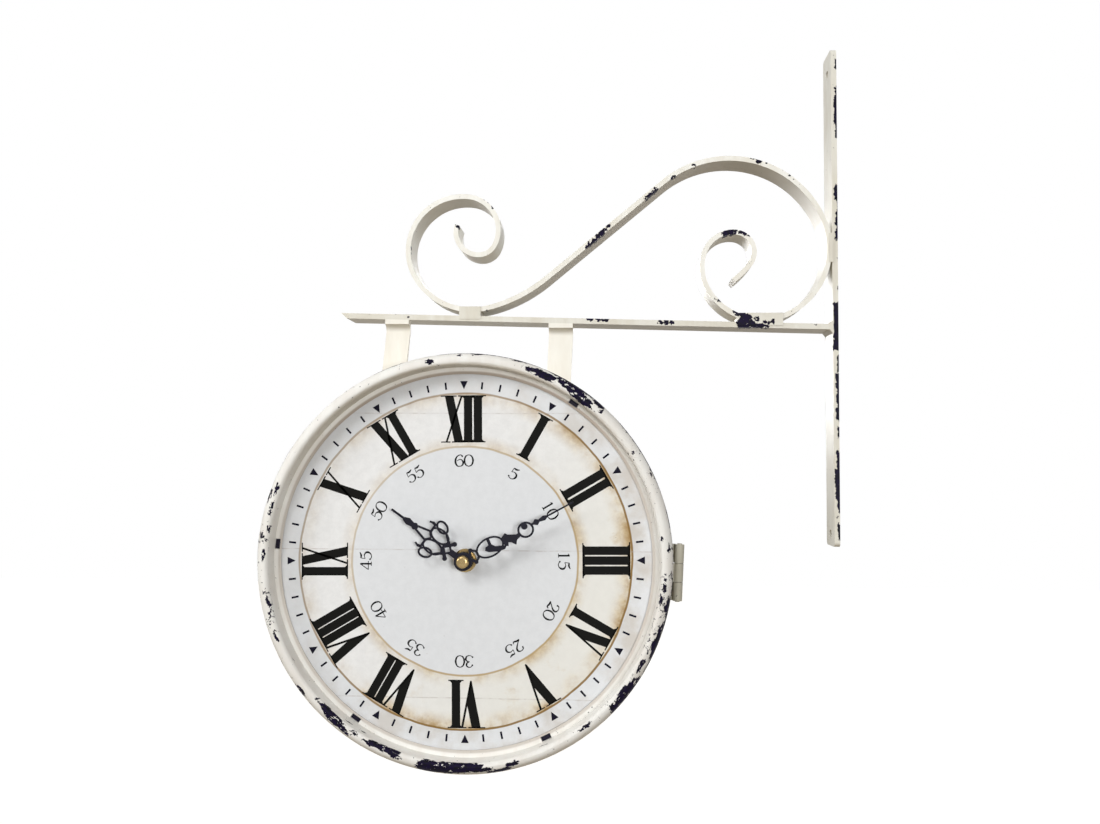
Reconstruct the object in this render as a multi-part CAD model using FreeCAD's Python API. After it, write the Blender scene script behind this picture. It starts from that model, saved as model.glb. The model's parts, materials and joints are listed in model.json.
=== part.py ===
import FreeCAD, Part
import math
import os

V = FreeCAD.Vector
os.makedirs("parts", exist_ok=True)

# ---- driving sizes, mm ------------------------------------------------------
GAP = 0.3                 # running gap between pieces that move past each other
FIT = 0.08                # radial clearance of a shaft in its hole
# bracket
BAR_W = 20.0              # flat bar width, front to back
BAR_T = 3.0               # flat bar thickness
HOLE_PITCH = 256.0        # wall screw holes, centre to centre
HOLE_R = 2.3              # wall screw hole radius
END_TOP = 11.0            # wall bar beyond its upper hole
END_LOW = 6.5             # wall bar beyond its lower hole
BAR_CORNER = 2.5          # rounded corners of the wall bar
ARM_DROP = 13.5           # arm's top below the middle of the holes, at the wall bar
ARM_LEN = 272.0           # arm beyond the wall bar
ARM_RISE = 1.5            # degrees that the arm rises away from the wall
ARM_CUT = 3.4             # slant of the arm's free end
SCROLL_T = 2.7            # scroll strip thickness
SCROLL_HEAD = -106.3      # heading of the strip at its inner end, degrees from the arm
# bends from the left inner end to the right inner end: radius, turn (degrees)
SCROLL = [(13.0, 107.0), (10.0, 65.0), (19.0, 108.0), (30.2, 128.0), (37.2, 73.5),
          (82.0, 25.8), (0.0, 83.8), (-56.0, 107.5), (-40.5, 83.7), (-33.2, 89.3),
          (-25.6, 46.3), (-16.5, 78.0), (-11.1, 123.5), (-52.0, 13.7)]
BEAD = 2.0                # weld bead leg
BEAD_PROUD = 0.5          # weld bead in front of and behind the bars
WELD_LEFT = 12.0          # weld under the left loop
WELD_RIGHT = 25.0         # weld under the right loop
WELD_WALL = 16.0          # weld of the scroll on the wall bar
WELD_UP = 5.2             # top of the loops' welds over the arm
SAMPLES = 2000            # points on each bend when the strip is seated
# drum
DRUM_X = 201.0            # clock's centre from the wall
DRUM_GAP = 18.4           # rim's top below the arm's root
DEPTH = 80.0              # over both rims
RING_R = 110.0            # rim radius
ROLL_R = 4.5              # outer roll of the rim
LIP_R = 2.0               # inner roll of the rim
SHEET_T = 1.0             # sheet of the rings and the band
WALL_IN = 6.9             # rim radius to the cove wall's foot
SHELF_IN = 10.5           # rim radius to the inner edge of the dial shelf
SHELF_Y = 10.2            # depth of the shelf behind the rim's front
RECESS = 12.0             # dial face behind the rim's front
BAND_IN = 2.5             # rim radius to the band's outside
SKIRT_LEN = 7.5           # skirt of the rear ring inside the band
WINDOWS = (34.5, 154.5, 214.5, 274.5)
WINDOW_L = 5.4            # clip window along the rim
WINDOW_W = 2.6            # clip window across the shelf
CLIP_T = 0.6
# dial
DIAL_T = 1.0
DIAL_LAP = 1.6            # dial edge beyond the shelf's inner edge
# hangers
STRAP_W = 13.4
STRAP_T = 2.5
STRAP_SET = 4.0           # strap's front behind the arm's front edge
STRAP_FOOT = 19.0         # lower foot, front to back
STRAP_OFF = (-42.2, 49.5)  # straps from the clock's middle
STRAP_LEAN = (5.5, 2.7)   # degrees from the plumb line
SCREW_R = 1.5             # M3 screws
# hinge and catch
HINGE_DEG = 2.5           # hinge and catch below and above the middle line
BARREL_R = 2.5
BARREL_OUT = 3.0          # barrel centre outside the rim
BARREL_Y = 10.0           # barrel centre behind the rim's front
KNUCKLE = 9.8
PIN_R = 1.25
LEAF_T = 1.2
DRUM_LEAF = 15.0          # drum leaf, front to back
TAB_W = 19.0              # finger tab along the rim
TAB_OUT = 1.9             # finger tab beyond the rim
# movement
CASE_T = 16.0
CASE_WALL = 1.2
RUBBER_T = 1.0
BUSH_R = 4.0
TUBE_R = 2.5
ARBOR_R = 1.5
WASHER_R = 6.2
WASHER_T = 0.8
NUT_AF = 10.0
NUT_T = 2.0
HOUR_LIFT = 6.0           # hour hand over the dial
MIN_LIFT = 8.6            # minute hand over the dial
HAND_T = 0.5
HUB_R = 4.9
CAP_R = 3.5
CAP_T = 2.2
HOUR_DEG = 305.1          # clockwise from twelve, ten past ten
MIN_DEG = 61.2
MOD = 0.25                # gear module
N_CANNON = 16
N_MOTION = 48
N_MPIN = 12
N_HOUR = 48
N_CENTRE = 60
N_TPIN = 8
N_THIRD = 48
MOTION_DIR = 60.0         # motion wheel, degrees round the arbor
THIRD_DIR = 200.0
CELL_R = 7.25             # one AA cell
CELL_L = 50.5
CELL_END = 1.55           # room for a contact at each end of the cell
CELL_PLAY = 0.8           # room over the cell in its bay
KNOB_R = 6.0
KNOB_T = 2.6

# ---- derived ----------------------------------------------------------------
HALF_W = BAR_W / 2
HALF_D = DEPTH / 2
WALL_X = -BAR_T
ROOT_Z = -ARM_DROP
DRUM_Z = ROOT_Z - DRUM_GAP - RING_R
STRAP_AT = [-DRUM_X + off for off in STRAP_OFF]
ROLL_Y = 2 * ROLL_R
BAND_R = RING_R - BAND_IN
BAND_Y = ROLL_Y + GAP
DIAL_R = RING_R - SHELF_IN + DIAL_LAP
CASE_Y = RECESS + DIAL_T + RUBBER_T
HINGE_R = RING_R + BARREL_OUT


def rod(r, y0, y1, x=0.0, z=0.0):
    return Part.makeCylinder(r, y1 - y0, V(x, y0, z), V(0, 1, 0))


def pipe(r, ri, y0, y1, x=0.0, z=0.0):
    return rod(r, y0, y1, x, z).cut(rod(ri, y0 - 1, y1 + 1, x, z))


def block(x0, x1, y0, y1, z0, z1):
    return Part.makeBox(x1 - x0, y1 - y0, z1 - z0, V(x0, y0, z0))


def plate(points, y0, y1):
    wire = Part.makePolygon([V(x, y0, z) for x, z in points + points[:1]])
    return Part.Face(wire).extrude(V(0, y1 - y0, 0))


def spin(points):
    wire = Part.makePolygon([V(r, y, 0) for r, y in points + points[:1]])
    return Part.Face(wire).revolve(V(0, 0, 0), V(0, 1, 0), 360)


def turned(shape, degrees):
    out = shape.copy()
    out.rotate(V(0, 0, 0), V(0, 1, 0), degrees)
    return out


def clean(shape):
    return shape.removeSplitter()


def group(shapes):
    return Part.makeCompound(shapes)


def join(shapes):
    out = shapes[0]
    if len(shapes) > 1:
        out = out.fuse(shapes[1:])
    return clean(out)


def front(shape):
    out = shape.copy()
    out.translate(V(-DRUM_X, -HALF_D, DRUM_Z))
    return out


def rear(shape):
    out = shape.copy()
    out.rotate(V(0, 0, 0), V(0, 0, 1), 180)
    out.translate(V(-DRUM_X, HALF_D, DRUM_Z))
    return out


def save(name, shape):
    shape.exportStep("parts/" + name + ".step")


# ---- bracket ----------------------------------------------------------------
def wall_bar():
    top = HOLE_PITCH / 2 + END_TOP
    low = -HOLE_PITCH / 2 - END_LOW
    bar = block(-BAR_T, 0, -HALF_W, HALF_W, low, top)
    edges = [e for e in bar.Edges if abs(e.Length - BAR_T) < 0.01 and e.BoundBox.XLength > BAR_T / 2]
    bar = bar.makeFillet(BAR_CORNER, edges)
    for z in (-HOLE_PITCH / 2, HOLE_PITCH / 2):
        bar = bar.cut(Part.makeCylinder(HOLE_R, BAR_T + 2, V(-BAR_T - 1, 0, z), V(1, 0, 0)))
    return bar


def arm_frame(shape):
    out = shape.copy()
    out.rotate(V(0, 0, 0), V(0, 1, 0), ARM_RISE)
    out.translate(V(WALL_X, 0, ROOT_Z))
    return out


def arm_bar():
    slack = BAR_T
    points = [(slack, 0), (-ARM_LEN, 0), (-ARM_LEN + ARM_CUT, -BAR_T), (slack, -BAR_T)]
    arm = arm_frame(plate(points, -HALF_W, HALF_W))
    return arm.cut(block(WALL_X, 20, -BAR_W, BAR_W, ROOT_Z - 20, ROOT_Z + 20))


def under_arm(x):
    run = WALL_X - x
    return ROOT_Z + run * math.tan(math.radians(ARM_RISE)) - BAR_T / math.cos(math.radians(ARM_RISE))


def strip_points():
    # stations of the strip's centre line: x, z, heading and the bend that follows
    x = 0.0
    z = 0.0
    head = math.radians(SCROLL_HEAD)
    out = []
    for radius, turn in SCROLL:
        out.append((x, z, head, radius, turn))
        if radius == 0:
            x += turn * math.cos(head)
            z += turn * math.sin(head)
            continue
        step = math.copysign(math.radians(turn), radius)
        x += radius * (math.sin(head + step) - math.sin(head))
        z -= radius * (math.cos(head + step) - math.cos(head))
        head += step
    out.append((x, z, head, 0, 0))
    return out


def side_edges(stations, off):
    # one long side of the strip, off to the left of the centre line
    edges = []
    for here, then in zip(stations[:-1], stations[1:]):
        x, z, head, radius, turn = here
        a = V(x - off * math.sin(head), 0, z + off * math.cos(head))
        b = V(then[0] - off * math.sin(then[2]), 0, then[1] + off * math.cos(then[2]))
        if radius == 0:
            edges.append(Part.makeLine(a, b))
            continue
        mid = head + math.copysign(math.radians(turn) / 2, radius)
        cx = x - radius * math.sin(head)
        cz = z + radius * math.cos(head)
        m = V(cx + (radius - off) * math.sin(mid), 0, cz - (radius - off) * math.cos(mid))
        edges.append(Part.Arc(a, m, b).toShape())
    return edges


def strip_samples(stations, off):
    # points along one long side of the strip, each with its place in SCROLL
    out = []
    for i, (x, z, head, radius, turn) in enumerate(stations[:-1]):
        for k in range(SAMPLES + 1):
            part = k / SAMPLES
            if radius == 0:
                px = x + turn * part * math.cos(head)
                pz = z + turn * part * math.sin(head)
                out.append((i, px - off * math.sin(head), pz + off * math.cos(head)))
                continue
            a = head + math.copysign(math.radians(turn) * part, radius)
            cx = x - radius * math.sin(head)
            cz = z + radius * math.cos(head)
            out.append((i, cx + (radius - off) * math.sin(a), cz - (radius - off) * math.cos(a)))
    return out


def strip_seat():
    # where the strip goes: its right loop on the arm, its far side on the wall bar
    stations = strip_points()
    points = strip_samples(stations, SCROLL_T / 2) + strip_samples(stations, -SCROLL_T / 2)
    sweep = [radius for radius, turn in SCROLL].index(0.0)
    right = min((z, x) for i, x, z in points if i > sweep)
    left = min((z, x) for i, x, z in points if i < sweep)
    rise = math.radians(ARM_RISE)
    lift = -right[0]
    reach, x, z = max((x * math.cos(rise) + (z + lift) * math.sin(rise), x, z) for i, x, z in points)
    slide = -reach / math.cos(rise)
    touch = (z + lift) * math.cos(rise) - (x + slide) * math.sin(rise)
    return slide, lift, left[1] + slide, right[1] + slide, ROOT_Z + touch


def s_scroll():
    stations = strip_points()
    left = side_edges(stations, SCROLL_T / 2)
    right = side_edges(stations, -SCROLL_T / 2)
    ends = []
    for s in (stations[0], stations[-1]):
        n = V(-math.sin(s[2]), 0, math.cos(s[2])) * (SCROLL_T / 2)
        ends.append(Part.makeLine(V(s[0], 0, s[1]) + n, V(s[0], 0, s[1]) - n))
    wire = Part.Wire(Part.__sortEdges__(left + right + ends))
    strip = Part.Face(wire).extrude(V(0, BAR_W, 0))
    slide, lift = strip_seat()[:2]
    strip.translate(V(slide, -HALF_W, lift))
    return arm_frame(strip)


def weld_beads(strip, arm, bar):
    y0 = -HALF_W - BEAD_PROUD
    y1 = HALF_W + BEAD_PROUD
    cutters = [strip, arm, bar]
    beads = []
    # under and over the arm's root
    low = under_arm(WALL_X)
    beads.append(plate([(WALL_X, low + 0.5), (WALL_X, low - BEAD), (WALL_X - BEAD, low + 0.5)],
                       -HALF_W, HALF_W))
    beads.append(plate([(WALL_X, ROOT_Z - 0.5), (WALL_X, ROOT_Z + BEAD), (WALL_X - BEAD, ROOT_Z)],
                       -HALF_W, HALF_W))
    # under the two loops
    left, right, z = strip_seat()[2:]
    left = WALL_X + left * math.cos(math.radians(ARM_RISE))
    right = WALL_X + right * math.cos(math.radians(ARM_RISE))
    for x, length in ((left, WELD_LEFT), (right, WELD_RIGHT)):
        top = under_arm(x) + BAR_T
        beads.append(block(x - length / 2, x + length / 2, y0, y1, top - BAR_T * 0.6, top + WELD_UP))
    # no metal runs in where the right loop touches the arm
    top = under_arm(right) + BAR_T
    cutters.append(block(right - BEAD, right + BEAD, -HALF_W, HALF_W, top - BEAD / 2, top + BEAD / 2))
    # beside the wall bar
    beads.append(block(WALL_X - SCROLL_T * 0.7, WALL_X + 0.6, y0, y1, z - WELD_WALL / 2, z + WELD_WALL / 2))
    cutters.append(block(WALL_X - BEAD / 2, WALL_X + BEAD / 2, -HALF_W, HALF_W, z - BEAD, z + BEAD))
    out = []
    for bead in beads:
        shape = bead.cut(cutters)
        out.extend([s for s in shape.Solids if s.Volume > 2.0])
    return group(out)


# ---- hangers ----------------------------------------------------------------
def strap_angle(i):
    return math.degrees(math.asin((STRAP_AT[i] + DRUM_X - strap_shift(i)) / BAND_R))


def strap_shift(i):
    fall = under_arm(STRAP_AT[i]) - DRUM_Z - BAND_R * 0.9
    return fall * math.tan(math.radians(STRAP_LEAN[i]))


def strap(i):
    x = STRAP_AT[i]
    lean = math.tan(math.radians(STRAP_LEAN[i]))
    y0 = -HALF_W + STRAP_SET
    half = STRAP_W / 2
    top = under_arm(x)
    bend = STRAP_SET
    # upper foot under the arm, bent forward
    foot = block(x - half, x + half, -HALF_W, y0 + STRAP_T, top - STRAP_T, top + 3)
    hollow = block(x - half, x + half, y0 - bend, y0, top - STRAP_T - bend, top - STRAP_T)
    hollow = hollow.cut(Part.makeCylinder(bend, STRAP_W, V(x - half, y0 - bend, top - STRAP_T - bend), V(1, 0, 0)))
    spine = block(x - half, x + half, y0, y0 + STRAP_T, top - STRAP_T - bend, top)
    # leaning leaf down to the drum
    z1 = top - STRAP_T - bend
    z0 = DRUM_Z
    d = (z1 - z0) * lean
    leaf = plate([(x - half, z1), (x + half, z1), (x + half - d, z0), (x - half - d, z0)], y0, y0 + STRAP_T)
    # lower foot on the band
    ang = strap_angle(i)
    sector = foot_sector(ang, y0, y0 + STRAP_FOOT)
    solid = join([foot, hollow, spine, leaf, sector])
    solid = solid.cut(drum_core(BAND_R))
    solid = solid.cut(arm_frame(block(-ARM_LEN - 20, 20, -BAR_W, BAR_W, -BAR_T, 30)))
    for y in screw_rows():
        solid = solid.cut(radial_rod(SCREW_R + 0.1, BAND_R - 5, BAND_R + 8, ang, y))
    return max(solid.Solids, key=lambda s: s.Volume)


def screw_rows():
    y0 = -HALF_W + STRAP_SET + STRAP_T
    return (y0 + 4.6, y0 + STRAP_FOOT - STRAP_T - 3.8)


def foot_sector(ang, y0, y1):
    ring = Part.makeCylinder(BAND_R + STRAP_T, y1 - y0, V(0, y0, 0), V(0, 1, 0))
    ring = ring.cut(Part.makeCylinder(BAND_R, y1 - y0 + 2, V(0, y0 - 1, 0), V(0, 1, 0)))
    ring = ring.common(block(-STRAP_W / 2, STRAP_W / 2, y0 - 1, y1 + 1, 0, BAND_R * 2))
    ring = turned(ring, ang)
    ring.translate(V(-DRUM_X, 0, DRUM_Z))
    return ring


def drum_core(r):
    return Part.makeCylinder(r, DEPTH, V(-DRUM_X, -HALF_D, DRUM_Z), V(0, 1, 0))


def radial_rod(r, r0, r1, ang, y):
    # rod pointing out of the drum, ang clockwise from the top
    a = math.radians(ang)
    out = V(math.sin(a), 0, math.cos(a))
    base = V(-DRUM_X, y, DRUM_Z) + out * r0
    return Part.makeCylinder(r, r1 - r0, base, out)


def radial_nut(af, r0, r1, ang, y):
    a = math.radians(ang)
    out = V(math.sin(a), 0, math.cos(a))
    side = V(math.cos(a), 0, -math.sin(a))
    base = V(-DRUM_X, y, DRUM_Z) + out * r0
    r = af / math.sqrt(3)
    points = [base + side * (r * math.cos(k * math.pi / 3)) + V(0, r * math.sin(k * math.pi / 3), 0)
              for k in range(7)]
    return Part.Face(Part.makePolygon(points)).extrude(out * (r1 - r0))


def strap_screws():
    out = []
    for i in (0, 1):
        for y in screw_rows():
            ang = strap_angle(i)
            seat = BAND_R + STRAP_T + 0.1
            shank = radial_rod(SCREW_R, BAND_R - SHEET_T - 3.6, seat + 0.5, ang, y)
            head = radial_rod(SCREW_R * 1.85, seat, seat + 1.8, ang, y)
            out.append(join([shank, head]))
    return group(out)


def strap_nuts():
    out = []
    for i in (0, 1):
        for y in screw_rows():
            ang = strap_angle(i)
            inner = BAND_R - SHEET_T - 0.25
            nut = radial_nut(5.5, inner - 2.4, inner, ang, y)
            out.append(nut.cut(radial_rod(SCREW_R, inner - 4, inner + 2, ang, y)))
    return group(out)


# ---- rings, band, dials -----------------------------------------------------
def ring_section():
    # face of the sheet from the back of the outer roll to the dial, thickened inward
    cr = RING_R - ROLL_R
    a = V(cr, 2 * ROLL_R, 0)
    b = V(RING_R, ROLL_R, 0)
    c = V(cr, 0, 0)
    turn = math.radians(80)
    d = V(cr - LIP_R * math.sin(turn / 2), LIP_R * (1 - math.cos(turn / 2)), 0)
    e = V(cr - LIP_R * math.sin(turn), LIP_R * (1 - math.cos(turn)), 0)
    corner = V(RING_R - WALL_IN, SHELF_Y, 0)
    inner = V(RING_R - SHELF_IN, SHELF_Y + 0.5, 0)
    edges = [Part.Arc(a, b, c).toShape(), Part.Arc(c, d, e).toShape()]
    edges.append(Part.makeLine(e, corner))
    edges.append(Part.makeLine(corner, inner))
    return Part.Wire(edges).makeOffset2D(SHEET_T, 2, True, True, False)


def face_ring(skirt):
    section = ring_section()
    ring = section.revolve(V(0, 0, 0), V(0, 1, 0), 360)
    if not ring.isValid() or ring.Volume < 0:
        ring = ring.reversed()
    for deg in WINDOWS:
        ring = ring.cut(turned(window_block(WINDOW_L, WINDOW_W, SHELF_Y - 0.6, SHELF_Y + SHEET_T + 1.6), deg))
    if skirt:
        outer = BAND_R - SHEET_T - GAP
        ring = join([ring, pipe(outer, outer - SHEET_T, ROLL_Y - 0.8 * SHEET_T, ROLL_Y + SKIRT_LEN)])
        for deg in (45, 135, 225, 315):
            hole = Part.makeCylinder(SCREW_R + 0.1, 20, V(0, screw_y(), RING_R - 14), V(0, 0, 1))
            ring = ring.cut(turned(hole, deg))
    return ring


def screw_y():
    return ROLL_Y + SKIRT_LEN / 2 + 0.5


def window_mid():
    return RING_R - (WALL_IN + SHELF_IN) / 2 + 0.35


def window_block(length, width, y0, y1):
    r = window_mid()
    return block(-length / 2, length / 2, y0, y1, r - width / 2, r + width / 2)


def dial_clips():
    out = []
    for deg in WINDOWS:
        r = window_mid()
        half = WINDOW_L / 2 - 0.3
        edge = DIAL_R + GAP
        back = RECESS + DIAL_T
        hook = block(-half, half, SHELF_Y + 0.2, SHELF_Y + 0.2 + CLIP_T, r - WINDOW_W / 2 + 0.3, r + WINDOW_W / 2 - 0.3)
        leg = block(-half, half, SHELF_Y + 0.2, back + CLIP_T, edge, edge + CLIP_T)
        grip = block(-half, half, back, back + CLIP_T, edge - 7, edge + CLIP_T)
        out.append(turned(join([hook, leg, grip]), deg))
    return group(out)


def dial():
    return pipe(DIAL_R, BUSH_R + 0.1, RECESS, RECESS + DIAL_T)


def rear_ring_screws():
    out = []
    for deg in (45, 135, 225, 315):
        y = screw_y()
        shank = Part.makeCylinder(SCREW_R, 5.3, V(0, y, BAND_R - 5), V(0, 0, 1))
        head = Part.makeCylinder(2.6, 1.6, V(0, y, BAND_R + 0.1), V(0, 0, 1))
        out.append(turned(join([shank, head]), deg))
    return group(out)


def drum_band():
    length = DEPTH - 2 * BAND_Y
    band = Part.makeCylinder(BAND_R, length, V(-DRUM_X, -length / 2, DRUM_Z), V(0, 1, 0))
    band = band.cut(drum_core(BAND_R - SHEET_T))
    for deg in (45, 135, 225, 315):
        hole = Part.makeCylinder(SCREW_R + 0.1, 20, V(0, screw_y(), BAND_R - 10), V(0, 0, 1))
        band = band.cut(rear(turned(hole, deg)))
    for i in (0, 1):
        for y in screw_rows():
            band = band.cut(radial_rod(SCREW_R + 0.1, BAND_R - 5, BAND_R + 5, strap_angle(i), y))
    # notches for the hinge leaf and the finger tab, holes for rivets and the catch nib
    leaf_low = ROLL_Y + LEAF_T + GAP
    notch = block(HINGE_R - 16, HINGE_R + 4, BAND_Y - 3, leaf_low, -door_leaf_half() - GAP, door_leaf_half() + GAP)
    band = band.cut(front(turned(notch, HINGE_DEG)))
    for y, z in leaf_rivets():
        hole = Part.makeCylinder(1.1, 8, V(BAND_R - 4, y, z), V(1, 0, 0))
        band = band.cut(front(turned(hole, HINGE_DEG)))
    half = tongue_half() + GAP
    notch = block(-BAND_R - 2, -BAND_R + 4, BAND_Y - 3, ROLL_Y + SHEET_T + GAP, -half, half)
    band = band.cut(front(turned(notch, HINGE_DEG)))
    nib = Part.makeCylinder(nib_r() + GAP, 8, V(-BAND_R - 4, nib_y(), 0), V(1, 0, 0))
    band = band.cut(front(turned(nib, HINGE_DEG)))
    for z in (-10, 10):
        hole = Part.makeCylinder(1.1, 8, V(-BAND_R - 4, nib_y(), z), V(1, 0, 0))
        band = band.cut(front(turned(hole, HINGE_DEG)))
    return band


# ---- hinge and catch, drawn at three and nine o'clock -----------------------
def door_leaf_half():
    return KNUCKLE * 0.5 + 6.0


def leaf_rivets():
    y = BARREL_Y + BARREL_R + LEAF_T + 7.5
    return [(y, -9.0), (y, 9.0)]


def barrel(z0, z1):
    out = Part.makeCylinder(BARREL_R, z1 - z0, V(HINGE_R, BARREL_Y, z0), V(0, 0, 1))
    return out


def hinge_leaf_drum():
    half = KNUCKLE * 1.5
    y0 = BARREL_Y + BARREL_R
    y1 = y0 + DRUM_LEAF
    skin = Part.makeCylinder(BAND_R + LEAF_T, y1 - y0, V(0, y0, 0), V(0, 1, 0))
    skin = skin.cut(Part.makeCylinder(BAND_R, DEPTH, V(0, 0, 0), V(0, 1, 0)))
    skin = skin.common(block(BAND_R / 2, BAND_R * 2, 0, DEPTH, -half, half))
    solids = [skin]
    inner = KNUCKLE / 2 + GAP / 2
    for s in (-1, 1):
        z0, z1 = sorted((s * inner, s * half))
        solids.append(barrel(z0, z1))
        web = block(BAND_R + 0.2, HINGE_R, y0 - LEAF_T, y0, z0, z1)
        arm = block(BAND_R + 0.2, BAND_R + LEAF_T, y0 - LEAF_T, y0 + 1, z0, z1)
        solids.extend([web, arm])
    out = join(solids)
    out = out.cut(Part.makeCylinder(PIN_R + 0.01, 60, V(HINGE_R, BARREL_Y, -30), V(0, 0, 1)))
    out = out.cut(Part.makeCylinder(BAND_R, DEPTH, V(0, 0, 0), V(0, 1, 0)))
    for y, z in leaf_rivets():
        out = out.cut(Part.makeCylinder(1.1, 12, V(BAND_R - 5, y, z), V(1, 0, 0)))
    return out


def hinge_leaf_door():
    half = KNUCKLE / 2 - GAP / 2
    wide = door_leaf_half()
    knuckle = barrel(-half, half)
    web = block(HINGE_R - BARREL_R * 1.2, HINGE_R, BARREL_Y - BARREL_R * 0.5, ROLL_Y + LEAF_T, -half, half)
    leaf = block(RING_R - ROLL_R - 0.5, HINGE_R - BARREL_R - 0.6, ROLL_Y, ROLL_Y + LEAF_T, -wide, wide)
    neck = block(HINGE_R - BARREL_R - 2, HINGE_R, ROLL_Y, ROLL_Y + LEAF_T, -half, half)
    out = join([knuckle, leaf, neck])
    out = out.cut(Part.makeCylinder(PIN_R + FIT, 60, V(HINGE_R, BARREL_Y, -30), V(0, 0, 1)))
    return out


def hinge_pin():
    half = KNUCKLE * 1.5
    pin = Part.makeCylinder(PIN_R, 2 * half + 1.0, V(HINGE_R, BARREL_Y, -half - 0.5), V(0, 0, 1))
    return pin


def hinge_rivets_drum():
    out = []
    for y, z in leaf_rivets():
        x = math.sqrt((BAND_R + LEAF_T) ** 2 - (abs(z) - 2.1) ** 2)
        head = Part.makeCylinder(2.1, 0.9, V(x + 0.1, y, z), V(1, 0, 0))
        x_in = math.sqrt((BAND_R - SHEET_T) ** 2 - (abs(z) + 2.1) ** 2)
        tail = Part.makeCylinder(1.8, 0.7, V(x_in - 0.85, y, z), V(1, 0, 0))
        shank = Part.makeCylinder(1.05, x + 0.5 - x_in + 0.5, V(x_in - 0.5, y, z), V(1, 0, 0))
        out.append(join([shank, head, tail]))
    return group(out)


def nib_r():
    return 1.5


def nib_y():
    return BAND_Y + 9.0


def catch_tab():
    # curved plate outside the band with a lip that a finger pulls
    y0 = ROLL_Y
    y1 = nib_y() + 5.0
    inner = BAND_R + 0.6
    skin = Part.makeCylinder(inner + SHEET_T, y1 - y0, V(0, y0, 0), V(0, 1, 0))
    skin = skin.cut(Part.makeCylinder(inner, DEPTH, V(0, 0, 0), V(0, 1, 0)))
    lip = Part.makeCylinder(RING_R + TAB_OUT, SHEET_T * 1.5, V(0, y0, 0), V(0, 1, 0))
    lip = lip.cut(Part.makeCylinder(inner, DEPTH, V(0, 0, 0), V(0, 1, 0)))
    out = join([skin, lip])
    out = out.common(tab_mask(y0 - 1, y1 + 1))
    hole = Part.makeCylinder(nib_r() + 0.4, 12, V(-BAND_R - 8, nib_y(), 0), V(1, 0, 0))
    return out.cut(hole)


def tab_mask(y0, y1):
    half = TAB_W / 2
    mask = block(-RING_R * 1.2, -RING_R * 0.8, y0, y1, -half, half)
    corner = 3.0
    edges = [e for e in mask.Edges if e.BoundBox.YLength > 1 and e.BoundBox.XMax < -RING_R]
    return mask.makeFillet(corner, edges)


def tongue_half():
    return TAB_W / 2 - 3


def catch_foot():
    # tongue that joins the finger tab to the back of the outer roll
    half = tongue_half()
    x1 = -RING_R + ROLL_R - 0.5
    return block(-BAND_R - 1.0, x1, ROLL_Y, ROLL_Y + SHEET_T, -half, half)


def catch_tab_full():
    tab = catch_tab()
    return join([tab, catch_foot()])


def catch_spring():
    # leaf spring inside the band with a nib through it
    x1 = -math.sqrt((BAND_R - SHEET_T) ** 2 - 14.0 ** 2)
    y0 = nib_y() - 3.5
    y1 = nib_y() + 3.5
    leaf = block(x1 + 0.05, x1 + 0.75, y0, y1, -14, 14)
    nib = Part.makeCylinder(nib_r(), BAND_R + x1 + 0.25, V(-BAND_R - 0.2, nib_y(), 0), V(1, 0, 0))
    out = join([leaf, nib])
    for z in (-10, 10):
        out = out.cut(Part.makeCylinder(1.1, 12, V(-BAND_R - 5, nib_y(), z), V(1, 0, 0)))
    return out


def catch_rivets():
    out = []
    x1 = -math.sqrt((BAND_R - SHEET_T) ** 2 - 14.0 ** 2)
    for z in (-10, 10):
        x_out = -math.sqrt(BAND_R ** 2 - (abs(z) - 1.0) ** 2) - 0.02
        shank = Part.makeCylinder(1.05, x1 + 1.1 - x_out, V(x_out + 0.1, nib_y(), z), V(1, 0, 0))
        tail = Part.makeCylinder(1.8, 0.6, V(x1 + 0.8, nib_y(), z), V(1, 0, 0))
        out.append(join([shank, tail]))
    return group(out)


# ---- movement, drawn on the arbor, t backward from the front of its case ----
def gear(n, m, t0, t1, x, z, tooth_deg):
    root = m * (n - 2.6) / 2
    tip = m * (n + 1.8) / 2
    pitch = 2 * math.pi / n
    points = []
    for k in range(n):
        mid = math.radians(tooth_deg) + k * pitch
        for r, s in ((root, -0.25), (tip, -0.08), (tip, 0.08), (root, 0.25)):
            a = mid + s * pitch
            points.append((x + r * math.cos(a), z + r * math.sin(a)))
    return plate(points, CASE_Y + t0, CASE_Y + t1)


def polar(r, deg):
    return r * math.cos(math.radians(deg)), r * math.sin(math.radians(deg))


def motion_gap():
    return MOD * (N_CANNON + N_MOTION) / 2


def hour_module():
    return 2 * motion_gap() / (N_MPIN + N_HOUR)


def third_gap():
    return MOD * (N_CENTRE + N_TPIN) / 2


def motion_at():
    return polar(motion_gap(), MOTION_DIR)


def third_at():
    return polar(third_gap(), THIRD_DIR)


def wheel_tip(n):
    return MOD * (n + 1.8) / 2


def case_side():
    # long enough for the cell, and tall enough for the third wheel above the cell's bay
    bay = 2 * CELL_R + CELL_PLAY + 2 * CASE_WALL
    reach = wheel_tip(N_THIRD) - third_at()[1]
    return max(CELL_L + 2 * (CASE_WALL + CELL_END), 2 * (bay + reach + GAP))


CASE = case_side()


def knob_at():
    x, z = motion_at()
    return x, z + motion_gap()


def drod(r, t0, t1, x=0.0, z=0.0):
    return rod(r, CASE_Y + t0, CASE_Y + t1, x, z)


def cavity_floor():
    return -CASE / 2 + CASE_WALL + 2 * CELL_R + CELL_PLAY


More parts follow.
